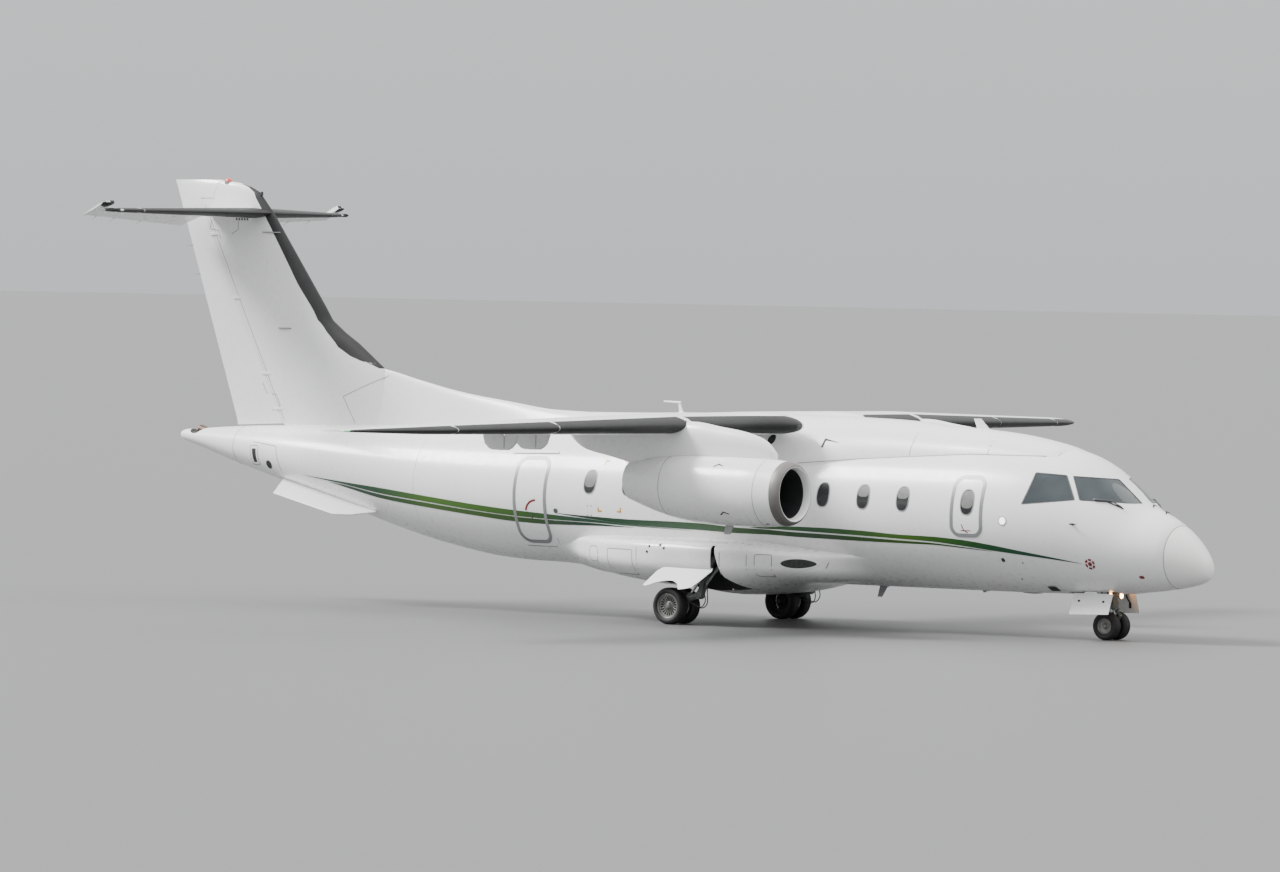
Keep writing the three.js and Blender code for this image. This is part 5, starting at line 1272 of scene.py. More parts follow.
def pipe(marks, radius, sides=10, per_span=8):
    """A round hose bent smoothly through its marks."""
    marks = [Vector(m) for m in marks]
    spots = [marks[0] * 2 - marks[1]] + marks + [marks[-1] * 2 - marks[-2]]
    line = []
    for a, b, c, d in zip(spots, spots[1:], spots[2:], spots[3:]):
        for k in range(per_span):
            t = k / per_span
            line.append(0.5 * (2 * b + (c - a) * t + (2 * a - 5 * b + 4 * c - d) * t * t
                               + (3 * b - a - 3 * c + d) * t ** 3))
    line.append(marks[-1])
    across = Vector((0.31, 0.9, 0.3))
    rings = []
    for i, spot in enumerate(line):
        run = (line[min(i + 1, len(line) - 1)] - line[max(i - 1, 0)]).normalized()
        across = (across - run * across.dot(run)).normalized()
        up = run.cross(across)
        rings.append([tuple(spot + radius * (across * math.cos(t) + up * math.sin(t)))
                      for t in full_turn(sides)])
    return loft(rings)


def collar(a, b, share, radius, length):
    """A raised band round the bar from a to b."""
    a, b = Vector(a), Vector(b)
    run = (b - a).normalized() * length / 2
    middle = a.lerp(b, share)
    return rod(middle - run, middle + run, radius, radius, 28)


def pin(x, z, y0, y1, radius, sides):
    """A round bar across the aircraft."""
    return rod((x, y0, z), (x, y1, z), radius, sides=sides)


LEG = ((2.06, 1.44, 1.297), (1.83, 1.59, 0.47))
BRACE = ((2.42, 1.49, 1.297), (1.85, 1.58, 0.56))
SHOCK_STRUT = ((2.12, 1.5, 1.2), (1.79, 1.59, 0.69))
casting = [rod(*LEG, 0.072, 0.066, 32), collar(*LEG, 0.22, 0.08, 0.05), collar(*LEG, 0.62, 0.09, 0.07),
           collar(*LEG, 0.93, 0.07, 0.07), pin(1.83, 0.49, 1.53, 1.648, 0.066, 28),
           pin(1.83, 0.49, 1.52, 1.656, 0.03, 12), rod((1.82, 1.604, 0.5), MAIN_AXLE, 0.052, 0.04, 24),
           pin(1.38, 0.303, 1.574, 1.646, 0.078, 32),
           rod((2.1, 1.3, 1.25), (2.02, 1.66, 1.25), 0.05, sides=20),
           side_prism([(1.72, 0.45), (1.62, 0.41), (1.58, 0.47), (1.63, 0.53), (1.7, 0.52)], 1.578, 1.634)]
brace = [rod(*BRACE, 0.021, sides=18), collar(*BRACE, 0.5, 0.03, 0.1), collar(*BRACE, 0.97, 0.034, 0.06)]
shock = [rod(*SHOCK_STRUT, 0.046, 0.042), collar(*SHOCK_STRUT, 0.96, 0.05, 0.06)]
piston = [rod(SHOCK_STRUT[1], (1.64, 1.606, 0.47), 0.023, sides=20)]
HOSES = (([(1.93, 1.58, 0.75), (1.96, 1.65, 0.56), (1.99, 1.66, 0.4), (1.9, 1.65, 0.3), (1.75, 1.645, 0.34),
           (1.6, 1.645, 0.39)], 0.009),
         ([(1.93, 1.5, 0.75), (1.95, 1.55, 0.55), (1.96, 1.56, 0.36), (1.86, 1.57, 0.28), (1.72, 1.574, 0.33),
           (1.6, 1.574, 0.385)], 0.009),
         ([(2.02, 1.53, 1.0), (1.98, 1.6, 0.8), (1.92, 1.63, 0.62), (1.9, 1.61, 0.5), (1.86, 1.66, 0.45)],
          0.006))
hoses = [pipe(marks, radius) for marks, radius in HOSES]
for hand, flip in HANDS:
    piece(f"main_leg_casting_{hand}", [flip(c) for c in casting], leg_enamel,
          stands_for=[f"main_gear_leg_{hand}"], bevel=0.006)
    piece(f"main_leg_brace_{hand}", [flip(b) for b in brace], brace_enamel, bevel=0.003)
    piece(f"main_leg_shock_strut_{hand}", [flip(s) for s in shock], brace_enamel,
          bevel=0.004)
    piece(f"main_leg_piston_{hand}", [flip(p) for p in piston], chrome)
    piece(f"main_leg_hoses_{hand}", [flip(h) for h in hoses], hose_black)

# Wheels: forged alloy rims with slotted discs and a bearing cap, two on each axle. The tyres are
# plain ribbed rubber that bulges over the rim; the brake stack is bolted to the leg's axle lug.
tyre_rubber = paint("tyre_rubber", (0.005, 0.005, 0.0055), (0.011, 0.011, 0.011), patch=0.1,
                    rough=(0.6, 0.8), bump=0.3, grain=350)
wheel_alloy = paint("wheel_alloy", (0.20, 0.20, 0.185), (0.145, 0.145, 0.135), patch=0.07, rough=(0.35, 0.5),
                    metal=0.4, bump=0.08, grain=120)
# Near-black brake steel; it also colours the inner main rims, as painted shade between the twin wheels.
brake_steel_and_rim_shade = paint("brake_steel_and_rim_shade", (0.022, 0.022, 0.022), (0.045, 0.043, 0.042), patch=0.05,
                    rough=(0.45, 0.65), metal=0.7, bump=0.2, grain=150)


def turned(axle, profile, offset, sides=72, ring=True):
    """A profile of radius and distance along the axle, turned about the axle."""
    ax, ay, az = axle
    rings = [[(ax + r * math.cos(t), ay + offset + along, az + r * math.sin(t)) for t in full_turn(sides)]
             for r, along in profile]
    return closed_wall(rings) if ring else loft(rings)


def tyre(axle, offset, radius, width, rim, grooves):
    """A tyre's bulging walls and its tread with fine grooves round it."""
    half, wall = width / 2, radius - rim
    bulge = ((0, 0.7), (0.06, 0.78), (0.2, 0.91), (0.42, 1), (0.62, 0.985), (0.8, 0.89), (0.92, 0.74),
             (0.98, 0.6))
    side = [(rim + a * wall, b * half) for a, b in bulge]
    tread = []
    for g in grooves:
        tread += [(radius - deep, g * half + along)
                  for deep, along in ((0, 0.004), (0.006, 0.003), (0.006, -0.003), (0, -0.004))]
    return turned(axle, side + tread + [(r, -along) for r, along in reversed(side)], offset, 96)


def alloy_wheel(axle, offset, out, rim, half, slots):
    """Barrel with two flanges, a dished disc with slots, and the bearing cap."""
    ax, ay, az = axle
    flange = [(-0.014, -0.55), (-0.002, -0.8), (0.009, -0.9), (0.01, -1.0), (0.004, -1.04), (-0.01, -1.0),
              (-0.015, -0.6), (-0.017, 0.5), (-0.012, 0.88), (0.002, 1.04), (0.01, 1.0), (0.009, 0.9),
              (-0.002, 0.8), (-0.012, 0.55)]
    parts = [turned(axle, [(rim + a, out * b * half) for a, b in flange], offset)]
    edge, heart = rim - 0.014, 0.4 * rim
    depth = lambda r: half * (0.42 + 0.3 * (r - heart) / (0.6 * rim))
    hoop = 0.82 * rim if slots else heart
    face = [(edge, out * depth(edge)), (hoop, out * depth(hoop)), (hoop, out * (depth(hoop) - 0.01)),
            (edge, out * (depth(edge) - 0.012))]
    parts.append(turned(axle, face, offset))
    spoke = ((heart - 0.004, 0.0065), (0.55 * rim, 0.007), (0.7 * rim, 0.0085), (hoop + 0.004, 0.012))
    for turn in full_turn(slots):
        grids = []
        for back in (0.0, 0.01):
            grids.append([[(ax + r * math.cos(turn + w * s / r),
                            ay + offset + out * (depth(r) + 0.003 * (1 - s * s) - back),
                            az + r * math.sin(turn + w * s / r))
                           for s in (-1, -0.4, 0.4, 1)] for r, w in spoke])
        parts.append(slab(*grids))
    foot = depth(heart) / half
    cap = [(0.003, 0.1), (heart * 0.9, 0.1), (heart * 1.03, foot - 0.12), (heart * 1.03, foot + 0.02),
           (heart * 0.8, 0.55), (heart * 0.68, 0.62), (heart * 0.6, 0.86), (heart * 0.5, 0.94),
           (heart * 0.2, 0.97), (0.003, 0.975)]
    parts.append(turned(axle, [(r, out * b * half) for r, b in cap], offset, 48, ring=False))
    y = ay + offset + out * half * 0.5
    for turn in full_turn(8):
        t = turn + math.pi / 8
        x, z = ax + heart * 0.84 * math.cos(t), az + heart * 0.84 * math.sin(t)
        parts.append(pin(x, z, y, y + out * 0.012, heart * 0.075, 6))
    return parts


# Distance of a wheel from its leg; tyre radius, width, rim radius and grooves; rim radius, half
# width and slots. Brake discs: near and far face, inner and outer radius.
MAIN_OFFSET, NOSE_OFFSET = 0.175, 0.147
MAIN_TYRE, MAIN_RIM = (0.303, 0.215, 0.195, (0.46, 0.16, -0.16, -0.46)), (0.195, 0.085, 20)
NOSE_TYRE, NOSE_RIM = (0.226, 0.188, 0.125, (0.4, 0, -0.4)), (0.125, 0.07, 0)
BRAKE_DISCS = ((0.032, 0.05, 0.04, 0.15), (0.054, 0.063, 0.06, 0.165), (0.067, 0.076, 0.06, 0.157),
               (0.08, 0.089, 0.06, 0.165), (0.093, 0.102, 0.06, 0.157), (0.106, 0.118, 0.045, 0.163))
for side, hand in SIDES:
    body, (ax, ay, az) = f"main_wheels_{hand}", MAIN_AXLE
    axle = (ax, side * ay, az)
    for where, offset in (("outer", MAIN_OFFSET * side), ("inner", -MAIN_OFFSET * side)):
        piece(f"main_tyre_{where}_{hand}_rubber", [tyre(axle, offset, *MAIN_TYRE)], tyre_rubber, body,
              stands_for=[f"main_tyre_{where}_{hand}"], sharp=40)
    spindle = pin(ax, az, axle[1] - MAIN_OFFSET, axle[1] + MAIN_OFFSET, 0.034, 24)
    piece(f"main_wheel_outer_rim_{hand}", alloy_wheel(axle, MAIN_OFFSET * side, side, *MAIN_RIM) + [spindle],
          wheel_alloy, body, stands_for=[f"main_wheel_hubs_{hand}"], sharp=35)
    # The inner rims are the same alloy as the outer ones; their near-black brake steel is painted shade.
    piece(f"main_wheel_inner_rim_{hand}", alloy_wheel(axle, -MAIN_OFFSET * side, -side, *MAIN_RIM),
          brake_steel_and_rim_shade, body, sharp=35)
    brakes = []
    for out in (1, -1):
        for near, far, inner, outer in BRAKE_DISCS:
            section = [(inner, out * near), (outer, out * near), (outer, out * far), (inner, out * far)]
            brakes.append(turned(axle, section, 0, 48))
        for turn in full_turn(6):
            x, z = ax + 0.115 * math.cos(turn + 0.3), az + 0.115 * math.sin(turn + 0.3)
            brakes.append(pin(x, z, axle[1] + out * 0.03, axle[1] + out * 0.112, 0.017, 14))
    piece(f"brake_stack_{hand}", brakes, brake_steel_and_rim_shade)
for side, hand in SIDES:
    piece(f"nose_tyre_{hand}_rubber", [tyre(NOSE_AXLE, NOSE_OFFSET * side, *NOSE_TYRE)], tyre_rubber,
          "nose_wheels", stands_for=[f"nose_tyre_{hand}"], sharp=40)
nose_rims = alloy_wheel(NOSE_AXLE, NOSE_OFFSET, 1, *NOSE_RIM)
nose_rims += alloy_wheel(NOSE_AXLE, -NOSE_OFFSET, -1, *NOSE_RIM)
nose_spindle = pin(NOSE_AXLE[0], NOSE_AXLE[2], -NOSE_OFFSET, NOSE_OFFSET, 0.0255, 24)
piece("nose_wheel_rims", nose_rims + [nose_spindle], wheel_alloy, "nose_wheels",
      stands_for=["nose_wheel_hubs"], sharp=35)

# Nose gear: a fixed cylinder with a brace and the taxi lamps, and below it the steered piston
# with its torque links and axle lug. Two doors hang open beside it on gooseneck hinges.
NOSE_LEG_X, LAMP_YS, LAMP_Z = 8.83, (-0.165, 0.165), 0.71


def post(z0, z1, radius0, radius1, sides=36):
    """A length of the upright nose leg."""
    return rod((NOSE_LEG_X, 0, z0), (NOSE_LEG_X, 0, z1), radius0, radius1, sides)


cylinder = [post(0.5604, 1.149, 0.06, 0.064, 32), post(0.5604, 0.6, 0.084, 0.084),
            post(0.6, 0.632, 0.078, 0.07),
            post(0.8, 0.83, 0.072, 0.072, 32), rod((8.81, 0, 0.76), (8.26, 0, 1.13), 0.024, sides=18),
            pin(8.81, 0.76, -0.06, 0.06, 0.03, 18), pin(NOSE_LEG_X, 1.1, -0.26, 0.26, 0.034, 20)]
cylinder += [rod((NOSE_LEG_X, y, 0.585), (8.66, y, 0.585), 0.03, sides=18) for y in (0.085, -0.085)]
piece("nose_leg_cylinder", cylinder, leg_enamel, stands_for=["nose_gear_leg"], bevel=0.003)
lamp_bar = [block(8.806, 8.854, -0.2, 0.2, 0.695, 0.725)]
for y in LAMP_YS:
    lamp_bar += [rod((8.8, y, LAMP_Z), (8.845, y, LAMP_Z), 0.03, 0.056, 32),
                 rod((8.845, y, LAMP_Z), (8.866, y, LAMP_Z), 0.056, 0.056, 32)]
piece("taxi_lamp_bar", lamp_bar, brace_enamel, bevel=0.003)
lamp_amber = paint("taxi_lamp_glow", (0.95, 0.5, 0.16), (0.98, 0.62, 0.26), patch=0.03, rough=(0.1, 0.2))


def lit(glass, colour, strength):
    """Lights a lamp's glass from within."""
    shader = glass.node_tree.nodes["Principled BSDF"]
    shader.inputs["Emission Color"].default_value = colour
    shader.inputs["Emission Strength"].default_value = strength


lit(lamp_amber, (1.0, 0.42, 0.1, 1), 30.0)
lens = [rod((8.866, y, LAMP_Z), (8.871, y, LAMP_Z), 0.05, 0.044, 32) for y in LAMP_YS]
piece("taxi_lamp_lenses", lens, lamp_amber)
lower_leg = [post(0.5596, 0.5, 0.084, 0.078), post(0.3, 0.226, 0.056, 0.06, 28),
             rod((8.8, 0, 0.3), (8.79, 0, 0.226), 0.05, sides=24), pin(8.79, 0.226, -0.04, 0.04, 0.058, 32)]
lower_leg += [rod((NOSE_LEG_X, y, 0.505), (8.9, y, 0.5), 0.02, sides=16) for y in (-0.05, 0.05)]
TORQUE_LINKS = ([(8.865, 0.51), (8.89, 0.485), (8.965, 0.405), (8.945, 0.39), (8.86, 0.465)],
                [(8.945, 0.405), (8.966, 0.39), (8.872, 0.25), (8.85, 0.28)])
for y in (-0.03, 0.016):
    lower_leg += [side_prism(link, y, y + 0.014) for link in TORQUE_LINKS]
lower_leg += [pin(8.95, 0.398, -0.036, 0.036, 0.012, 14), pin(8.86, 0.265, -0.04, 0.04, 0.014, 14)]
piece("nose_leg_fork", lower_leg, leg_enamel, "nose_fork", stands_for=["nose_gear_fork"],
      bevel=0.003)
piece("nose_leg_piston", [post(0.52, 0.29, 0.0415, 0.0415, 32)], chrome, "nose_fork")
door_lean = lambda z: 0.31 + (0.78 - z) * 0.42
nose_door_grids = []
for back in (0.0, 0.02):
    rows = []
    for x in np.linspace(8.285, 9.02, 12):
        heights = np.linspace(0.402 + 0.03 * (x - 8.29), 0.745 + 0.01 * (x - 8.5), 8)
        rows.append([(x, door_lean(z) + 0.022 + 0.006 * math.sin(math.pi * (z - 0.4) / 0.36) - back, z)
                     for z in heights])
    nose_door_grids.append(rows)
nose_hinges = []
for x in (8.42, 8.88):
    gooseneck = [(x, door_lean(0.6) - 0.004, 0.6), (x, 0.3, 0.68), (x, 0.275, 0.76), (x, 0.3, 0.8)]
    nose_hinges.append(pipe(gooseneck, 0.013))
    nose_hinges.append(block(x - 0.02, x + 0.02, door_lean(0.56) - 0.008, door_lean(0.56) + 0.008, 0.5, 0.64))
# The gooseneck hinges take the same near-black bay material, painted shade under the nose.
for hand, flip in HANDS:
    piece(f"nose_door_panel_{hand}", [flip(slab(*nose_door_grids))], gloss_white,
          stands_for=[f"nose_gear_door_{hand}"], bevel=0.005)
    piece(f"nose_door_hinges_{hand}", [flip(h) for h in nose_hinges], bay_lining_painted_shade,
          bevel=0.002)

# De-icing boots are black rubber sheets cemented round the leading edges of the wing, fin,
# tailplane and elevator horns, in lengths that butt with a thin light seam.
BOOT_PROUD, BOOT_SUNK, WING_BOOT, TAIL_BOOT, HORN_BOOT = 0.0025, 0.004, 0.1, 0.19, 0.3


def wrapped(line, out):
    """A section line moved outwards along its own normal."""
    moved = []
    for i, (a, b) in enumerate(line):
        (a0, b0), (a1, b1) = line[max(i - 1, 0)], line[min(i + 1, len(line) - 1)]
        run = math.hypot(a1 - a0, b1 - b0) or 1
        moved.append((a - (b1 - b0) / run * out, b + (a1 - a0) / run * out))
    return moved


def boot(stations, edge, chord, share, height, place, steps=14, soft=(0.12, 0.12)):
    """A sheet wrapped round a leading edge; `soft` rounds its two ends off over that length."""
    grids = []
    for out in (BOOT_PROUD, -BOOT_SUNK):
        grid = []
        for w in stations:
            ease = min(1, abs(w - stations[0]) / soft[0] + 0.12,
                       abs(w - stations[-1]) / soft[1] + 0.12) ** 0.5
            line = []
            for i in range(steps + 1):
                s = 1 - 2 * i / steps
                x = edge(w) - s * s * share(w) * ease * chord(w)
                line.append((x, height(w, x, 1 if s >= 0 else -1)))
            grid.append([place(a, b, w) for a, b in wrapped(line, out)])
        grids.append(grid)
    return slab(*grids)


def near_ends(marks, widest=0.3):
    """Stations along a length, closer together at its ends."""
    a, b = marks[0], marks[-1]
    step = math.copysign(0.03, b - a)
    middle = [m for m in marks[1:-1] if abs(m - a) > 0.13 and abs(m - b) > 0.13]
    return spans([a, a + step, a + 2 * step, a + 4 * step] + middle
                 + [b - 4 * step, b - 2 * step, b - step, b], widest)


crosswise = lambda x, z, y: (x, y, z)
wing_le, wing_chord = wing_curves[0], lambda y: wing_curves[0](y) - wing_curves[1](y)
WING_BOOTS = (([1.02, 1.2, 1.55, 1.9, 3.3], (0.14, 0.01)), ([3.42, 3.9, 6.382], (0.01, 0.01)),
              ([6.398, 8.642], (0.01, 0.01)), ([8.658, 9.1, 9.6, 10.0, 10.4], (0.01, 0.1)))
wing_boots = [boot(near_ends(marks, 0.25), wing_le, wing_chord, lambda y: WING_BOOT, wing_skin, crosswise,
                   soft=soft)
              for marks, soft in WING_BOOTS]
piece("wing_deicer_boots", wing_boots + [mirrored(b) for b in wing_boots], deicer_black)
FIN_BOOT = [(3.98, 0.01), (4.04, 0.02), (4.09, 0.036), (4.21, 0.109), (4.39, 0.138), (4.76, 0.091),
            (5.01, 0.088),
            (5.45, 0.106), (6.07, 0.095), (6.64, 0.085), (6.98, 0.065), (7.1, 0.03), (7.17, 0.012)]
FIN_BOOT_MARKS = [3.98, 4.04, 4.09, 4.24, 4.46, 4.63, 4.84, 5.08, 6.65, 7.03, 7.12, 7.17]
fin_le, fin_chord = lambda z: between(FIN, z, 1), lambda z: between(FIN, z, 1) - between(FIN, z, 2)
fin_boot = boot(spans(FIN_BOOT_MARKS, 0.1), fin_le, fin_chord, lambda z: between(FIN_BOOT, z, 1),
                lambda z, x, sign: sign * fin_half(z, x), lambda x, y, z: (x, y, z), soft=(0.01, 0.01))
piece("fin_deicer_boot", [fin_boot], deicer_black)
tail_le = lambda y: between(TAIL, abs(y), 1)
tail_chord = lambda y: between(TAIL, abs(y), 1) - between(TAIL, abs(y), 2)
TAIL_BOOTS = (([-2.593, -0.06, 0, 0.06, 2.593], (0.01, 0.01)), ([2.605, 3.0, 3.3], (0.01, 0.06)),
              ([-3.3, -3.0, -2.605], (0.06, 0.01)))
tail_boots = [boot(near_ends(marks), tail_le, tail_chord, lambda y: TAIL_BOOT,
                   lambda y, x, sign: TAIL_Z + sign * tail_half(y, x), crosswise, soft=soft)
              for marks, soft in TAIL_BOOTS]
piece("tailplane_deicer_boots", tail_boots, deicer_black)
horn_boot = boot([3.102, 3.2, 3.3, 3.345], horn_le, tail_chord, lambda y: HORN_BOOT, horn_height, crosswise)
for hand, flip in HANDS:
    piece(f"elevator_horn_boot_{hand}", [drooped(flip(horn_boot))], deicer_black, f"elevator_{hand}")

# Lamps: coloured glass let into the wing tips, a red beacon on the fin, a white lamp in each flank
# for the engine inlets and a tail lamp. The beacon and the flank lamps sit in painted metal rings.
TIP_LAMP, BEACON_X, FLANK_LAMP = 0.16, -9.46, (7.446, 1.885)


def lamp_glass(name, colour, other, glow, strength):
    """Clear coloured glass that shines a little."""
    glass = paint(name, colour, other, patch=0.03, rough=(0.06, 0.14), coat=1.0)
    lit(glass, glow, strength)
    return glass


def dome(centre, radius, height, up=(0, 0, 1), rings=8, sides=24):
    """A blown glass cap standing on a surface."""
    up = Vector(up).normalized()
    u = up.orthogonal().normalized()
    v = up.cross(u)
    turns = [math.pi / 2 * k / rings for k in range(rings + 1)]
    rows = [(-0.012, 1.0)] + [(height * math.sin(t), max(0.01, math.cos(t))) for t in turns]
    return loft([[tuple(Vector(centre) + up * h + (u * math.cos(t) + v * math.sin(t)) * radius * share)
                  for t in full_turn(sides)] for h, share in rows])


lamp_red = lamp_glass("lamp_red", (0.55, 0.004, 0.004), (0.65, 0.008, 0.006), (1, 0.01, 0.01, 1), 0.25)
lamp_green = lamp_glass("lamp_green", (0.02, 0.42, 0.16), (0.04, 0.5, 0.22), (0.05, 1, 0.35, 1), 0.35)
lamp_white = lamp_glass("lamp_white", (0.9, 0.9, 0.86), (0.96, 0.95, 0.9), (1, 0.93, 0.8, 1), 2.6)
tip_glass = boot(spans([10.405, 10.475], 0.02), wing_le, wing_chord, lambda y: TIP_LAMP, wing_skin,
                 lambda x, z, y: (x + 0.004, y, z))
piece("port_wing_tip_lamp", [tip_glass], lamp_red)
piece("starboard_wing_tip_lamp", [mirrored(tip_glass)], lamp_green)
piece("fin_top_beacon", [dome((BEACON_X, 0, 7.205), 0.07, 0.068)], lamp_red)
piece("beacon_seat", [rod((BEACON_X, 0, 7.18), (BEACON_X, 0, 7.21), 0.078, 0.074, 28)], grey_rim)
for side, hand in SIDES:
    glass = skin_disc(oval(*FLANK_LAMP, 0.062, 0.062, 28, 2), side, 0.004, 0.008)
    ring = skin_rim(oval(*FLANK_LAMP, 0.074, 0.074, 28, 2), 0.014, side, 0.006, 0.009)
    piece(f"flank_lamp_{hand}", [glass], lamp_white)
    piece(f"flank_lamp_ring_{hand}", [ring], brace_enamel)
piece("tail_lamp", [dome((-10.395, 0, 2.8), 0.028, 0.03, (-1, 0, 0))], lamp_white)

# Aerials are thin moulded blades with a swept front on a cast foot, screwed through the skin.
# The painted ones stand on the roof, the grey ones hang from the belly.
aerial_grey = paint("aerial_grey", (0.28, 0.285, 0.29), (0.22, 0.225, 0.23), patch=0.15, rough=(0.4, 0.6),
                    bump=0.1, grain=160)


def ellipse(x, y, z, half_long, half_wide):
    """Points round a level ellipse."""
    return [(x + half_long * math.cos(t), y + half_wide * math.sin(t), z) for t in full_turn(24)]


def blade_aerial(x, z, long, high, lean, thick=0.011, up=1):
    """A swept blade on the centre line; up is -1 under the belly."""
    rings = []
    for k in range(7):
        s = k / 6
        height, half_long = z + up * (high * s - 0.02), long * (1 - 0.45 * s) / 2
        rings.append(ellipse(x - lean * s, 0, height, half_long, thick * (1 - 0.4 * s)))
    foot = [ellipse(x, 0, z + up * h, (long / 2 + 0.02) * grow, 0.03 * grow)
            for grow, h in ((1.0, -0.03), (1.0, 0.004), (0.85, 0.01))]
    return [loft(rings), loft(foot)]


BELLY_AERIALS = ((4.4, 0.17, 0.2, 0.09, 0.011), (6.38, 0.1, 0.05, 0.03, 0.011),
                 (7.28, 0.34, 0.035, 0.0, 0.05))
top_aerials = blade_aerial(0.27, 3.44, 0.09, 0.16, 0.04) + blade_aerial(6.3, 3.3, 0.26, 0.2, 0.14)
top_aerials.append(rod((-0.09, 0, 3.615), (0.25, 0, 3.605), 0.012, 0.017, 14))
piece("top_aerials", top_aerials, gloss_white)
belly_aerials = [part for x, *shape in BELLY_AERIALS for part in blade_aerial(x, 0.7, *shape, up=-1)]
piece("belly_aerials", belly_aerials, aerial_grey)

# Vents and drains are black-edged holes, drawn as near-black discs that paint the shade inside them.
# Service points carry painted warning rings and hatch corners, and the air data probes are small
# castings screwed on beside the nose.
# One near-black finish: the probes' own colour, and painted shade in the openings of vents, drains and
# scoops.
hole_shade_and_black = paint("hole_shade_and_black_finish", (0.012, 0.012, 0.013), (0.03, 0.03, 0.03), patch=0.05, rough=(0.55, 0.75),
                  bump=0.2, grain=200)
marker_yellow = paint("marker_yellow", (0.6, 0.27, 0.006), (0.5, 0.22, 0.006), patch=0.1, rough=(0.25, 0.4),
                      bump=0.03)
VENTS = ((-8.015, 2.34, 0.07, 0.075), (7.356, 1.25, 0.034, 0.034), (7.705, 1.214, 0.012, 0.012),
         (7.537, 0.946, 0.012, 0.012), (-0.755, 1.87, 0.009, 0.009), (-0.68, 1.87, 0.009, 0.009),
         (-0.755, 1.71, 0.009, 0.009), (-0.68, 1.71, 0.009, 0.009))
WARNING_RING, PROBE = (8.909, 1.236), (8.676, 1.866)
HATCH_BACK, HATCH_FRONT, HATCH_TOP, HATCH_FOOT = -0.545, -0.065, 2.63, 1.775
vents, marks, corners, probes = [], [], [], []
for side in (1, -1):
    vents += [skin_disc(oval(x, z, rx, rz, 18, 2), side, 0.0035, 0.006) for x, z, rx, rz in VENTS]
    vents.append(skin_disc(rounded_frame(7.91, 8.05, 0.762, 0.83, 0.012, 3), side, 0.02, 0.03))
    marks += [arc_strip(*WARNING_RING, 0.052, 0.034, t, t + 0.75, side, 0.003, 0.004, 6)
              for t in full_turn(6)]
    marks.append(skin_disc(oval(*WARNING_RING, 0.034, 0.034, 16, 2), side, 0.003, 0.005))
    marks.append(skin_disc(oval(9.699, 1.048, 0.04, 0.024, 16, 3), side, 0.003, 0.005))
    for x, forward in ((HATCH_BACK, 1), (HATCH_FRONT, -1)):
        for z, upward in ((HATCH_TOP, -1), (HATCH_FOOT, 1)):
            for long, high in ((0.085, 0.025), (0.025, 0.08)):
                x0, x1 = sorted((x, x + forward * long))
                z0, z1 = sorted((z, z + upward * high))
                corners.append(skin_disc(rounded_frame(x0, x1, z0, z1, 0.003, 2), side, 0.0025, 0.004))
    foot, away = Vector(skin(*PROBE, side)), skin_normal(*PROBE, side)
    neck, end = foot + away * 0.06, foot + away * 0.065 + Vector((0.1, 0, 0))
    probes.append(rod(foot - away * 0.01, neck + Vector((-0.01, 0, 0)), 0.02, 0.012, 14))
    probes.append(rod(neck + Vector((-0.03, 0, 0)), end, 0.012, 0.008, 14))
for x in (9.5, 9.74):
    roof = crown(x)
    probes += [rod((x, 0.05, roof - 0.02), (x + 0.02, 0.05, roof + 0.03), 0.014, 0.01, 12),
               rod((x, 0.05, roof + 0.03), (x + 0.07, 0.05, roof + 0.012), 0.01, 0.007, 12)]
piece("skin_vents", vents, hole_shade_and_black)
piece("red_skin_marks", marks, warning_red)
piece("yellow_hatch_corners", corners, marker_yellow)
piece("air_data_probes", probes, hole_shade_and_black)

# Panel joints are filled with grey sealant and stand a hair above the paint; small air scoops,
# drains and service panels are let in where the systems need them. Their openings are near-black
# discs, painted shade, and a grey line beside the rudder's hinge paints the shade in the fin's gap.
# Grey sealant for the joints; the same grey paints the shade in the gap before the rudder.
joint_grey_and_gap_shade = paint("panel_seam_and_gap_shade", (0.27, 0.27, 0.265), (0.21, 0.21, 0.207), patch=0.5, rough=(0.5, 0.7),
                  bump=0.05, grain=90)


def dorsal_half(x, z):
    """Half width of the fin or its dorsal ridge, whichever stands out more."""
    top, half = (curve(x) for curve in dorsal_curves)
    s = (z - DORSAL_FOOT) / (top - DORSAL_FOOT)
    ridge_half = half * math.sqrt(max(0, 1 - s * s)) * (1 - 0.45 * s) if s < 1 and x > -6.5 else 0
    return max(ridge_half, fin_half(z, x) if x < between(FIN, z, 1) else 0)


def seam(marks, at, side, width=0.013, out=0.0014, spacing=0.08):
    """A fine line laid through marks on a surface."""
    line = []
    for (ua, va), (ub, vb) in zip(marks, marks[1:]):
        count = max(1, math.ceil(math.hypot(ub - ua, vb - va) / spacing))
        line += [(ua + (ub - ua) * k / count, va + (vb - va) * k / count) for k in range(count)]
    line.append(marks[-1])
    pairs = []
    for i, (u, v) in enumerate(line):
        (ua, va), (ub, vb) = line[max(i - 1, 0)], line[min(i + 1, len(line) - 1)]
        run = math.hypot(ub - ua, vb - va)
        across = ((va - vb) / run * width / 2, (ub - ua) / run * width / 2)
        pairs.append([(u - across[0], v - across[1]), (u + across[0], v + across[1])])
    return slab(*[[[at(u, v, side, reach) for u, v in pair] for pair in pairs]
                  for reach in (out, out - 0.005)])


def on_hump(x, z, side, out=0.0):
    """A point of the wing fairing's side, or of the cabin where that stands out more."""
    top, half, base = (curve(x) for curve in hump_curves)
    share = min(1.0, max(0.0, (z - base) / (top - base))) ** (1 / 0.9)
    return x, side * (max(half * math.sqrt(1 - share * share), abs(skin(x, z, side)[1])) + out), z


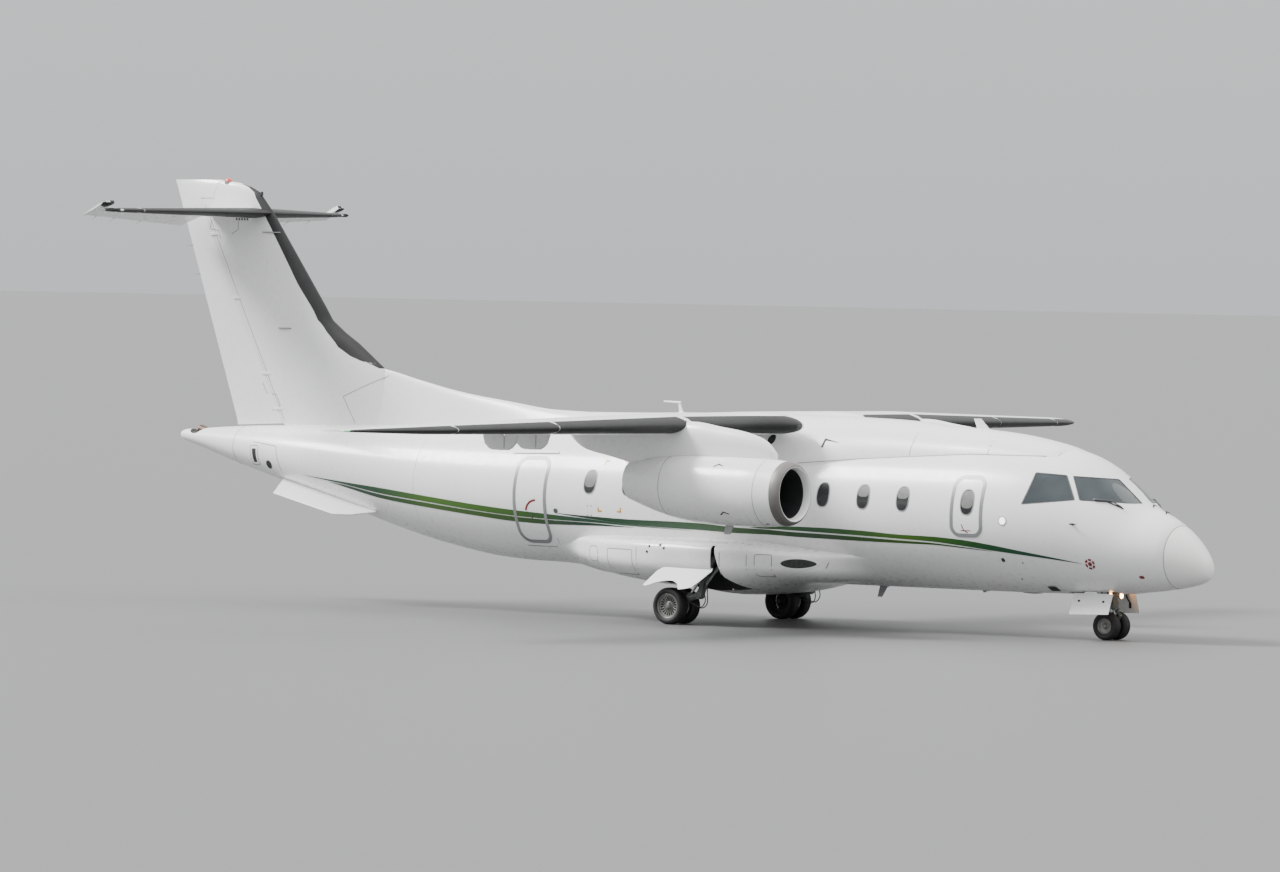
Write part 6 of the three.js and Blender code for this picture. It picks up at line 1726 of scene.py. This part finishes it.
def on_fin(x, z, side, out=0.0):
    """A point of the side of the fin or its ridge."""
    return x, side * (dorsal_half(x, z) + out), z


def on_nacelle(x, turn, side, out=0.0):
    """A point of the nacelle's outside, at an angle about its axis."""
    radius = nacelle_outside(x) + out
    return x, side * (ENGINE_Y + radius * math.cos(turn)), nacelle_axis(x) + radius * math.sin(turn)


closed = lambda outline: outline + outline[:1]
CABIN_SEAMS = ([(-8.403, 2.725), (-7.82, 2.662), (-7.756, 2.408), (-7.72, 2.2)],
               [(-2.27, 1.15), (-1.62, 1.15)],
               [(-1.53, 1.3), (-1.53, 1.05)], closed(rounded_frame(-8.46, -8.26, 2.33, 2.66, 0.03, 3)))
SPONSON_SEAMS = ([(2.42, 0.85), (2.42, 1.22)], [(2.95, 0.8), (2.95, 1.34)], [(0.7, 0.74), (0.7, 1.25)],
                 [(4.1, 1.0), (4.14, 1.12), (4.12, 1.2)],
                 closed(rounded_frame(3.1, 3.4, 0.85, 1.21, 0.04, 3)),
                 closed(rounded_frame(-0.03, 0.6, 0.78, 1.2, 0.03, 3)),
                 closed(rounded_frame(-0.56, -0.31, 0.97, 1.22, 0.07, 4)))
ROOF_SEAMS = ([(3.3, 2.69), (4.44, 2.79), (5.34, 2.85), (6.49, 2.92), (7.86, 2.925)],
              [(5.35, 2.87), (5.35, 3.3)], [(6.8, 2.93), (6.8, 3.2)])
FIN_SEAMS = ([(-6.734, 3.541), (-5.84, 3.918)], [(-6.734, 3.541), (-6.454, 3.086)],
             [(-8.565, 3.739), (-8.469, 3.559), (-8.242, 3.54), (-8.146, 3.341), (-8.341, 3.259)],
             [(-9.767, 6.54), (-9.82, 6.39), (-9.62, 6.36), (-9.56, 6.21)],
             [(-9.15, 6.53), (-9.15, 6.38), (-9.3, 6.3)])
SEAM_SECTION = ((-0.005, 0.0014), (0.005, 0.0014), (0.005, -0.006), (-0.005, -0.006))
SPONSON_DRAINS = ((0.995, 1.273), (0.948, 1.181), (1.218, 1.301), (1.306, 1.25))
ROOF_SCOOP, BELLY_INLET = (2.72, 3.06), (3.78, 1.075)
seams, scoops, scoop_rims = [], [], []
for joint in (RADOME_X, CONE_JOINT_X):
    seams.append(closed_wall([skin_ring(joint + shift, out) for shift, out in SEAM_SECTION]))
for side in (1, -1):
    for lines, at in ((CABIN_SEAMS, skin), (SPONSON_SEAMS, on_sponson), (ROOF_SEAMS, on_hump),
                      (FIN_SEAMS, on_fin)):
        seams += [seam(marks, at, side) for marks in lines]
    root_line = [(x, math.acos((pylon_curves[0](x) + 0.012) / nacelle_outside(x)))
                 for x in np.linspace(2.1, 4.36, 24)]
    seams.append(seam(root_line, on_nacelle, side, 0.012))
    # A grey line on the fin beside the rudder's hinge paints the shade in the gap.
    seams.append(seam([(rudder_x(z) + 0.085, z) for z in (3.1, 4.5, 6.8)], on_fin, side, 0.012))
    for x in COWL_JOINTS[1:]:
        seams.append(seam([(x, t) for t in np.linspace(-2.0, 1.25, 30)], on_nacelle, side, 0.011,
                          spacing=0.3))
    scoops += [skin_disc(oval(x, z, 0.022, 0.022, 12, 2), side, 0.006, 0.009, 1, at=on_sponson)
               for x, z in SPONSON_DRAINS]
    scoops.append(skin_disc(rounded_frame(-8.41, -8.31, 2.37, 2.61, 0.02, 3), side, 0.0022, 0.004))
    surround = rounded_frame(-8.436, -8.284, 2.344, 2.636, 0.035, 4)
    scoop_rims.append(skin_rim(surround, 0.026, side, 0.005, 0.008))
    for x in (-9.2 + 0.06 * k for k in range(5)):
        louvre = [(x, 6.54), (x + 0.035, 6.54), (x + 0.015, 6.6), (x - 0.015, 6.6)]
        scoops.append(skin_disc(louvre, side, 0.002, 0.005, 1, at=on_fin))
    scoops.append(skin_disc(oval(*ROOF_SCOOP, 0.075, 0.085, 28, 2), side, 0.006, 0.01, at=on_hump))
    scoop_rims.append(skin_rim(oval(*ROOF_SCOOP, 0.1, 0.11, 28, 2), 0.026, side, 0.012, 0.02, at=on_hump))
    for slit in ([(3.745, 3.1), (3.71, 3.1), (3.69, 2.96), (3.725, 2.96)],
                 [(4.0, 3.04), (3.73, 3.1), (3.73, 3.075)]):
        scoops.append(skin_disc(slit, side, 0.008, 0.01, 1, at=on_hump))
    for x, turn in ((3.7, 0.8), (3.86, -0.68)):
        for wing in ([(x - 0.06, turn - 0.07), (x, turn + 0.03), (x, turn + 0.075), (x - 0.085, turn - 0.05)],
                     [(x, turn + 0.03), (x + 0.1, turn - 0.03), (x + 0.1, turn - 0.002), (x, turn + 0.075)]):
            scoops.append(skin_disc(wing, side, 0.004, 0.006, 1, at=on_nacelle))
    scoops.append(skin_disc(oval(4.56, -1.16, 0.04, 0.035, 16, 2), side, 0.002, 0.005, 1, at=on_nacelle))
scoops.append(skin_disc(oval(*BELLY_INLET, 0.235, 0.08, 48, 2), -1, 0.008, 0.014, 6, at=on_sponson))
scoop_rims.append(skin_rim(oval(*BELLY_INLET, 0.253, 0.094, 48, 2), 0.018, -1, 0.012, 0.02, at=on_sponson))
piece("panel_joints_and_gap_shade", seams, joint_grey_and_gap_shade)
piece("air_scoops", scoops, hole_shade_and_black)
piece("air_scoop_rims", scoop_rims, gloss_white)
drain_mast = side_prism([(3.6, 1.75), (3.76, 1.75), (3.69, 1.58), (3.56, 1.58)], ENGINE_Y - 0.011,
                        ENGINE_Y + 0.011)
piece("drain_masts", [drain_mast, mirrored(drain_mast)], brace_enamel, bevel=0.004)
piece("fin_tip_probe", [rod((-8.72, 0, 6.98), (-8.715, 0, 7.04), 0.03, 0.02, 16)], hole_shade_and_black)

# Fin fittings: two small fences on each side, hinge covers on the rudder line, and static
# discharge wicks of braided wire along the trailing edges.
FENCES, FENCE_HALF, FENCE_HEIGHT, FENCE_FOOT = ((-8.62, -8.25, 6.34), (-8.2, -7.9, 4.69)), 0.008, 0.03, 0.004
fences = []
for side in (1, -1):
    for x0, x1, height in FENCES:
        faces = []
        for z in (height - FENCE_HALF, height + FENCE_HALF):
            face = []
            for x in np.linspace(x0, x1, 12):
                foot = fin_half(z, x) - FENCE_FOOT
                tall = FENCE_HEIGHT * max(0.0, math.sin(math.pi * (x - x0) / (x1 - x0))) ** 0.6 + FENCE_FOOT
                face.append([(x, side * foot, z), (x, side * (foot + tall), z)])
            faces.append(face)
        fences.append(slab(*faces))
piece("fin_fences", fences, grey_rim)
hinge_covers = []
for z in (3.3, 3.9, 5.2, 6.3):
    for side in (1, -1):
        x = rudder_x(z)
        half = fin_half(z, x)
        cover = [[(x + 0.08 + 0.13 * math.cos(t), side * (half - 0.012 + rise * math.sin(t) ** 0.5),
                   z + shift)
                  for t in np.linspace(0.05, math.pi - 0.05, 14)]
                 for rise, shift in ((0.0081, -0.028), (0.03, -0.0196), (0.03, 0.0196), (0.0081, 0.028))]
        back = [[(px, side * (half - 0.02), pz) for px, _, pz in row] for row in cover]
        hinge_covers.append(slab(cover, back))
piece("rudder_hinge_covers", hinge_covers, gloss_white)
wick_black = paint("wick_black", (0.03, 0.03, 0.03), (0.06, 0.06, 0.058), patch=0.02, rough=(0.6, 0.8),
                   bump=0.3, grain=500)


def wick(x, y, z):
    """A short holder on a trailing edge and the wick that trails from it."""
    root, neck, tip = (x + 0.02, y, z), (x - 0.02, y, z - 0.002), (x - 0.12, y, z - 0.01)
    return [rod(root, neck, 0.006, 0.005, 8), rod(neck, tip, 0.0028, 0.0018, 8)]


wing_te = wing_curves[1]
aileron_wicks = [w for y in (7.8, 8.6, 9.4) for w in wick(wing_te(y), y, wing_skin(y, wing_te(y), 0))]
elevator_wicks = [drooped(w) for y in (1.6, 2.4, 2.95) for w in wick(between(TAIL, y, 2), y, TAIL_Z)]
for hand, flip in HANDS:
    piece(f"aileron_wicks_{hand}", [flip(w) for w in aileron_wicks], wick_black, f"aileron_{hand}")
    piece(f"elevator_wicks_{hand}", [flip(w) for w in elevator_wicks], wick_black, f"elevator_{hand}")
rudder_wicks = [w for z in (5.6, 6.1, 6.6) for w in wick(between(FIN, z, 2) + 0.001, 0, z)]
piece("rudder_wicks", rudder_wicks, wick_black, "rudder")
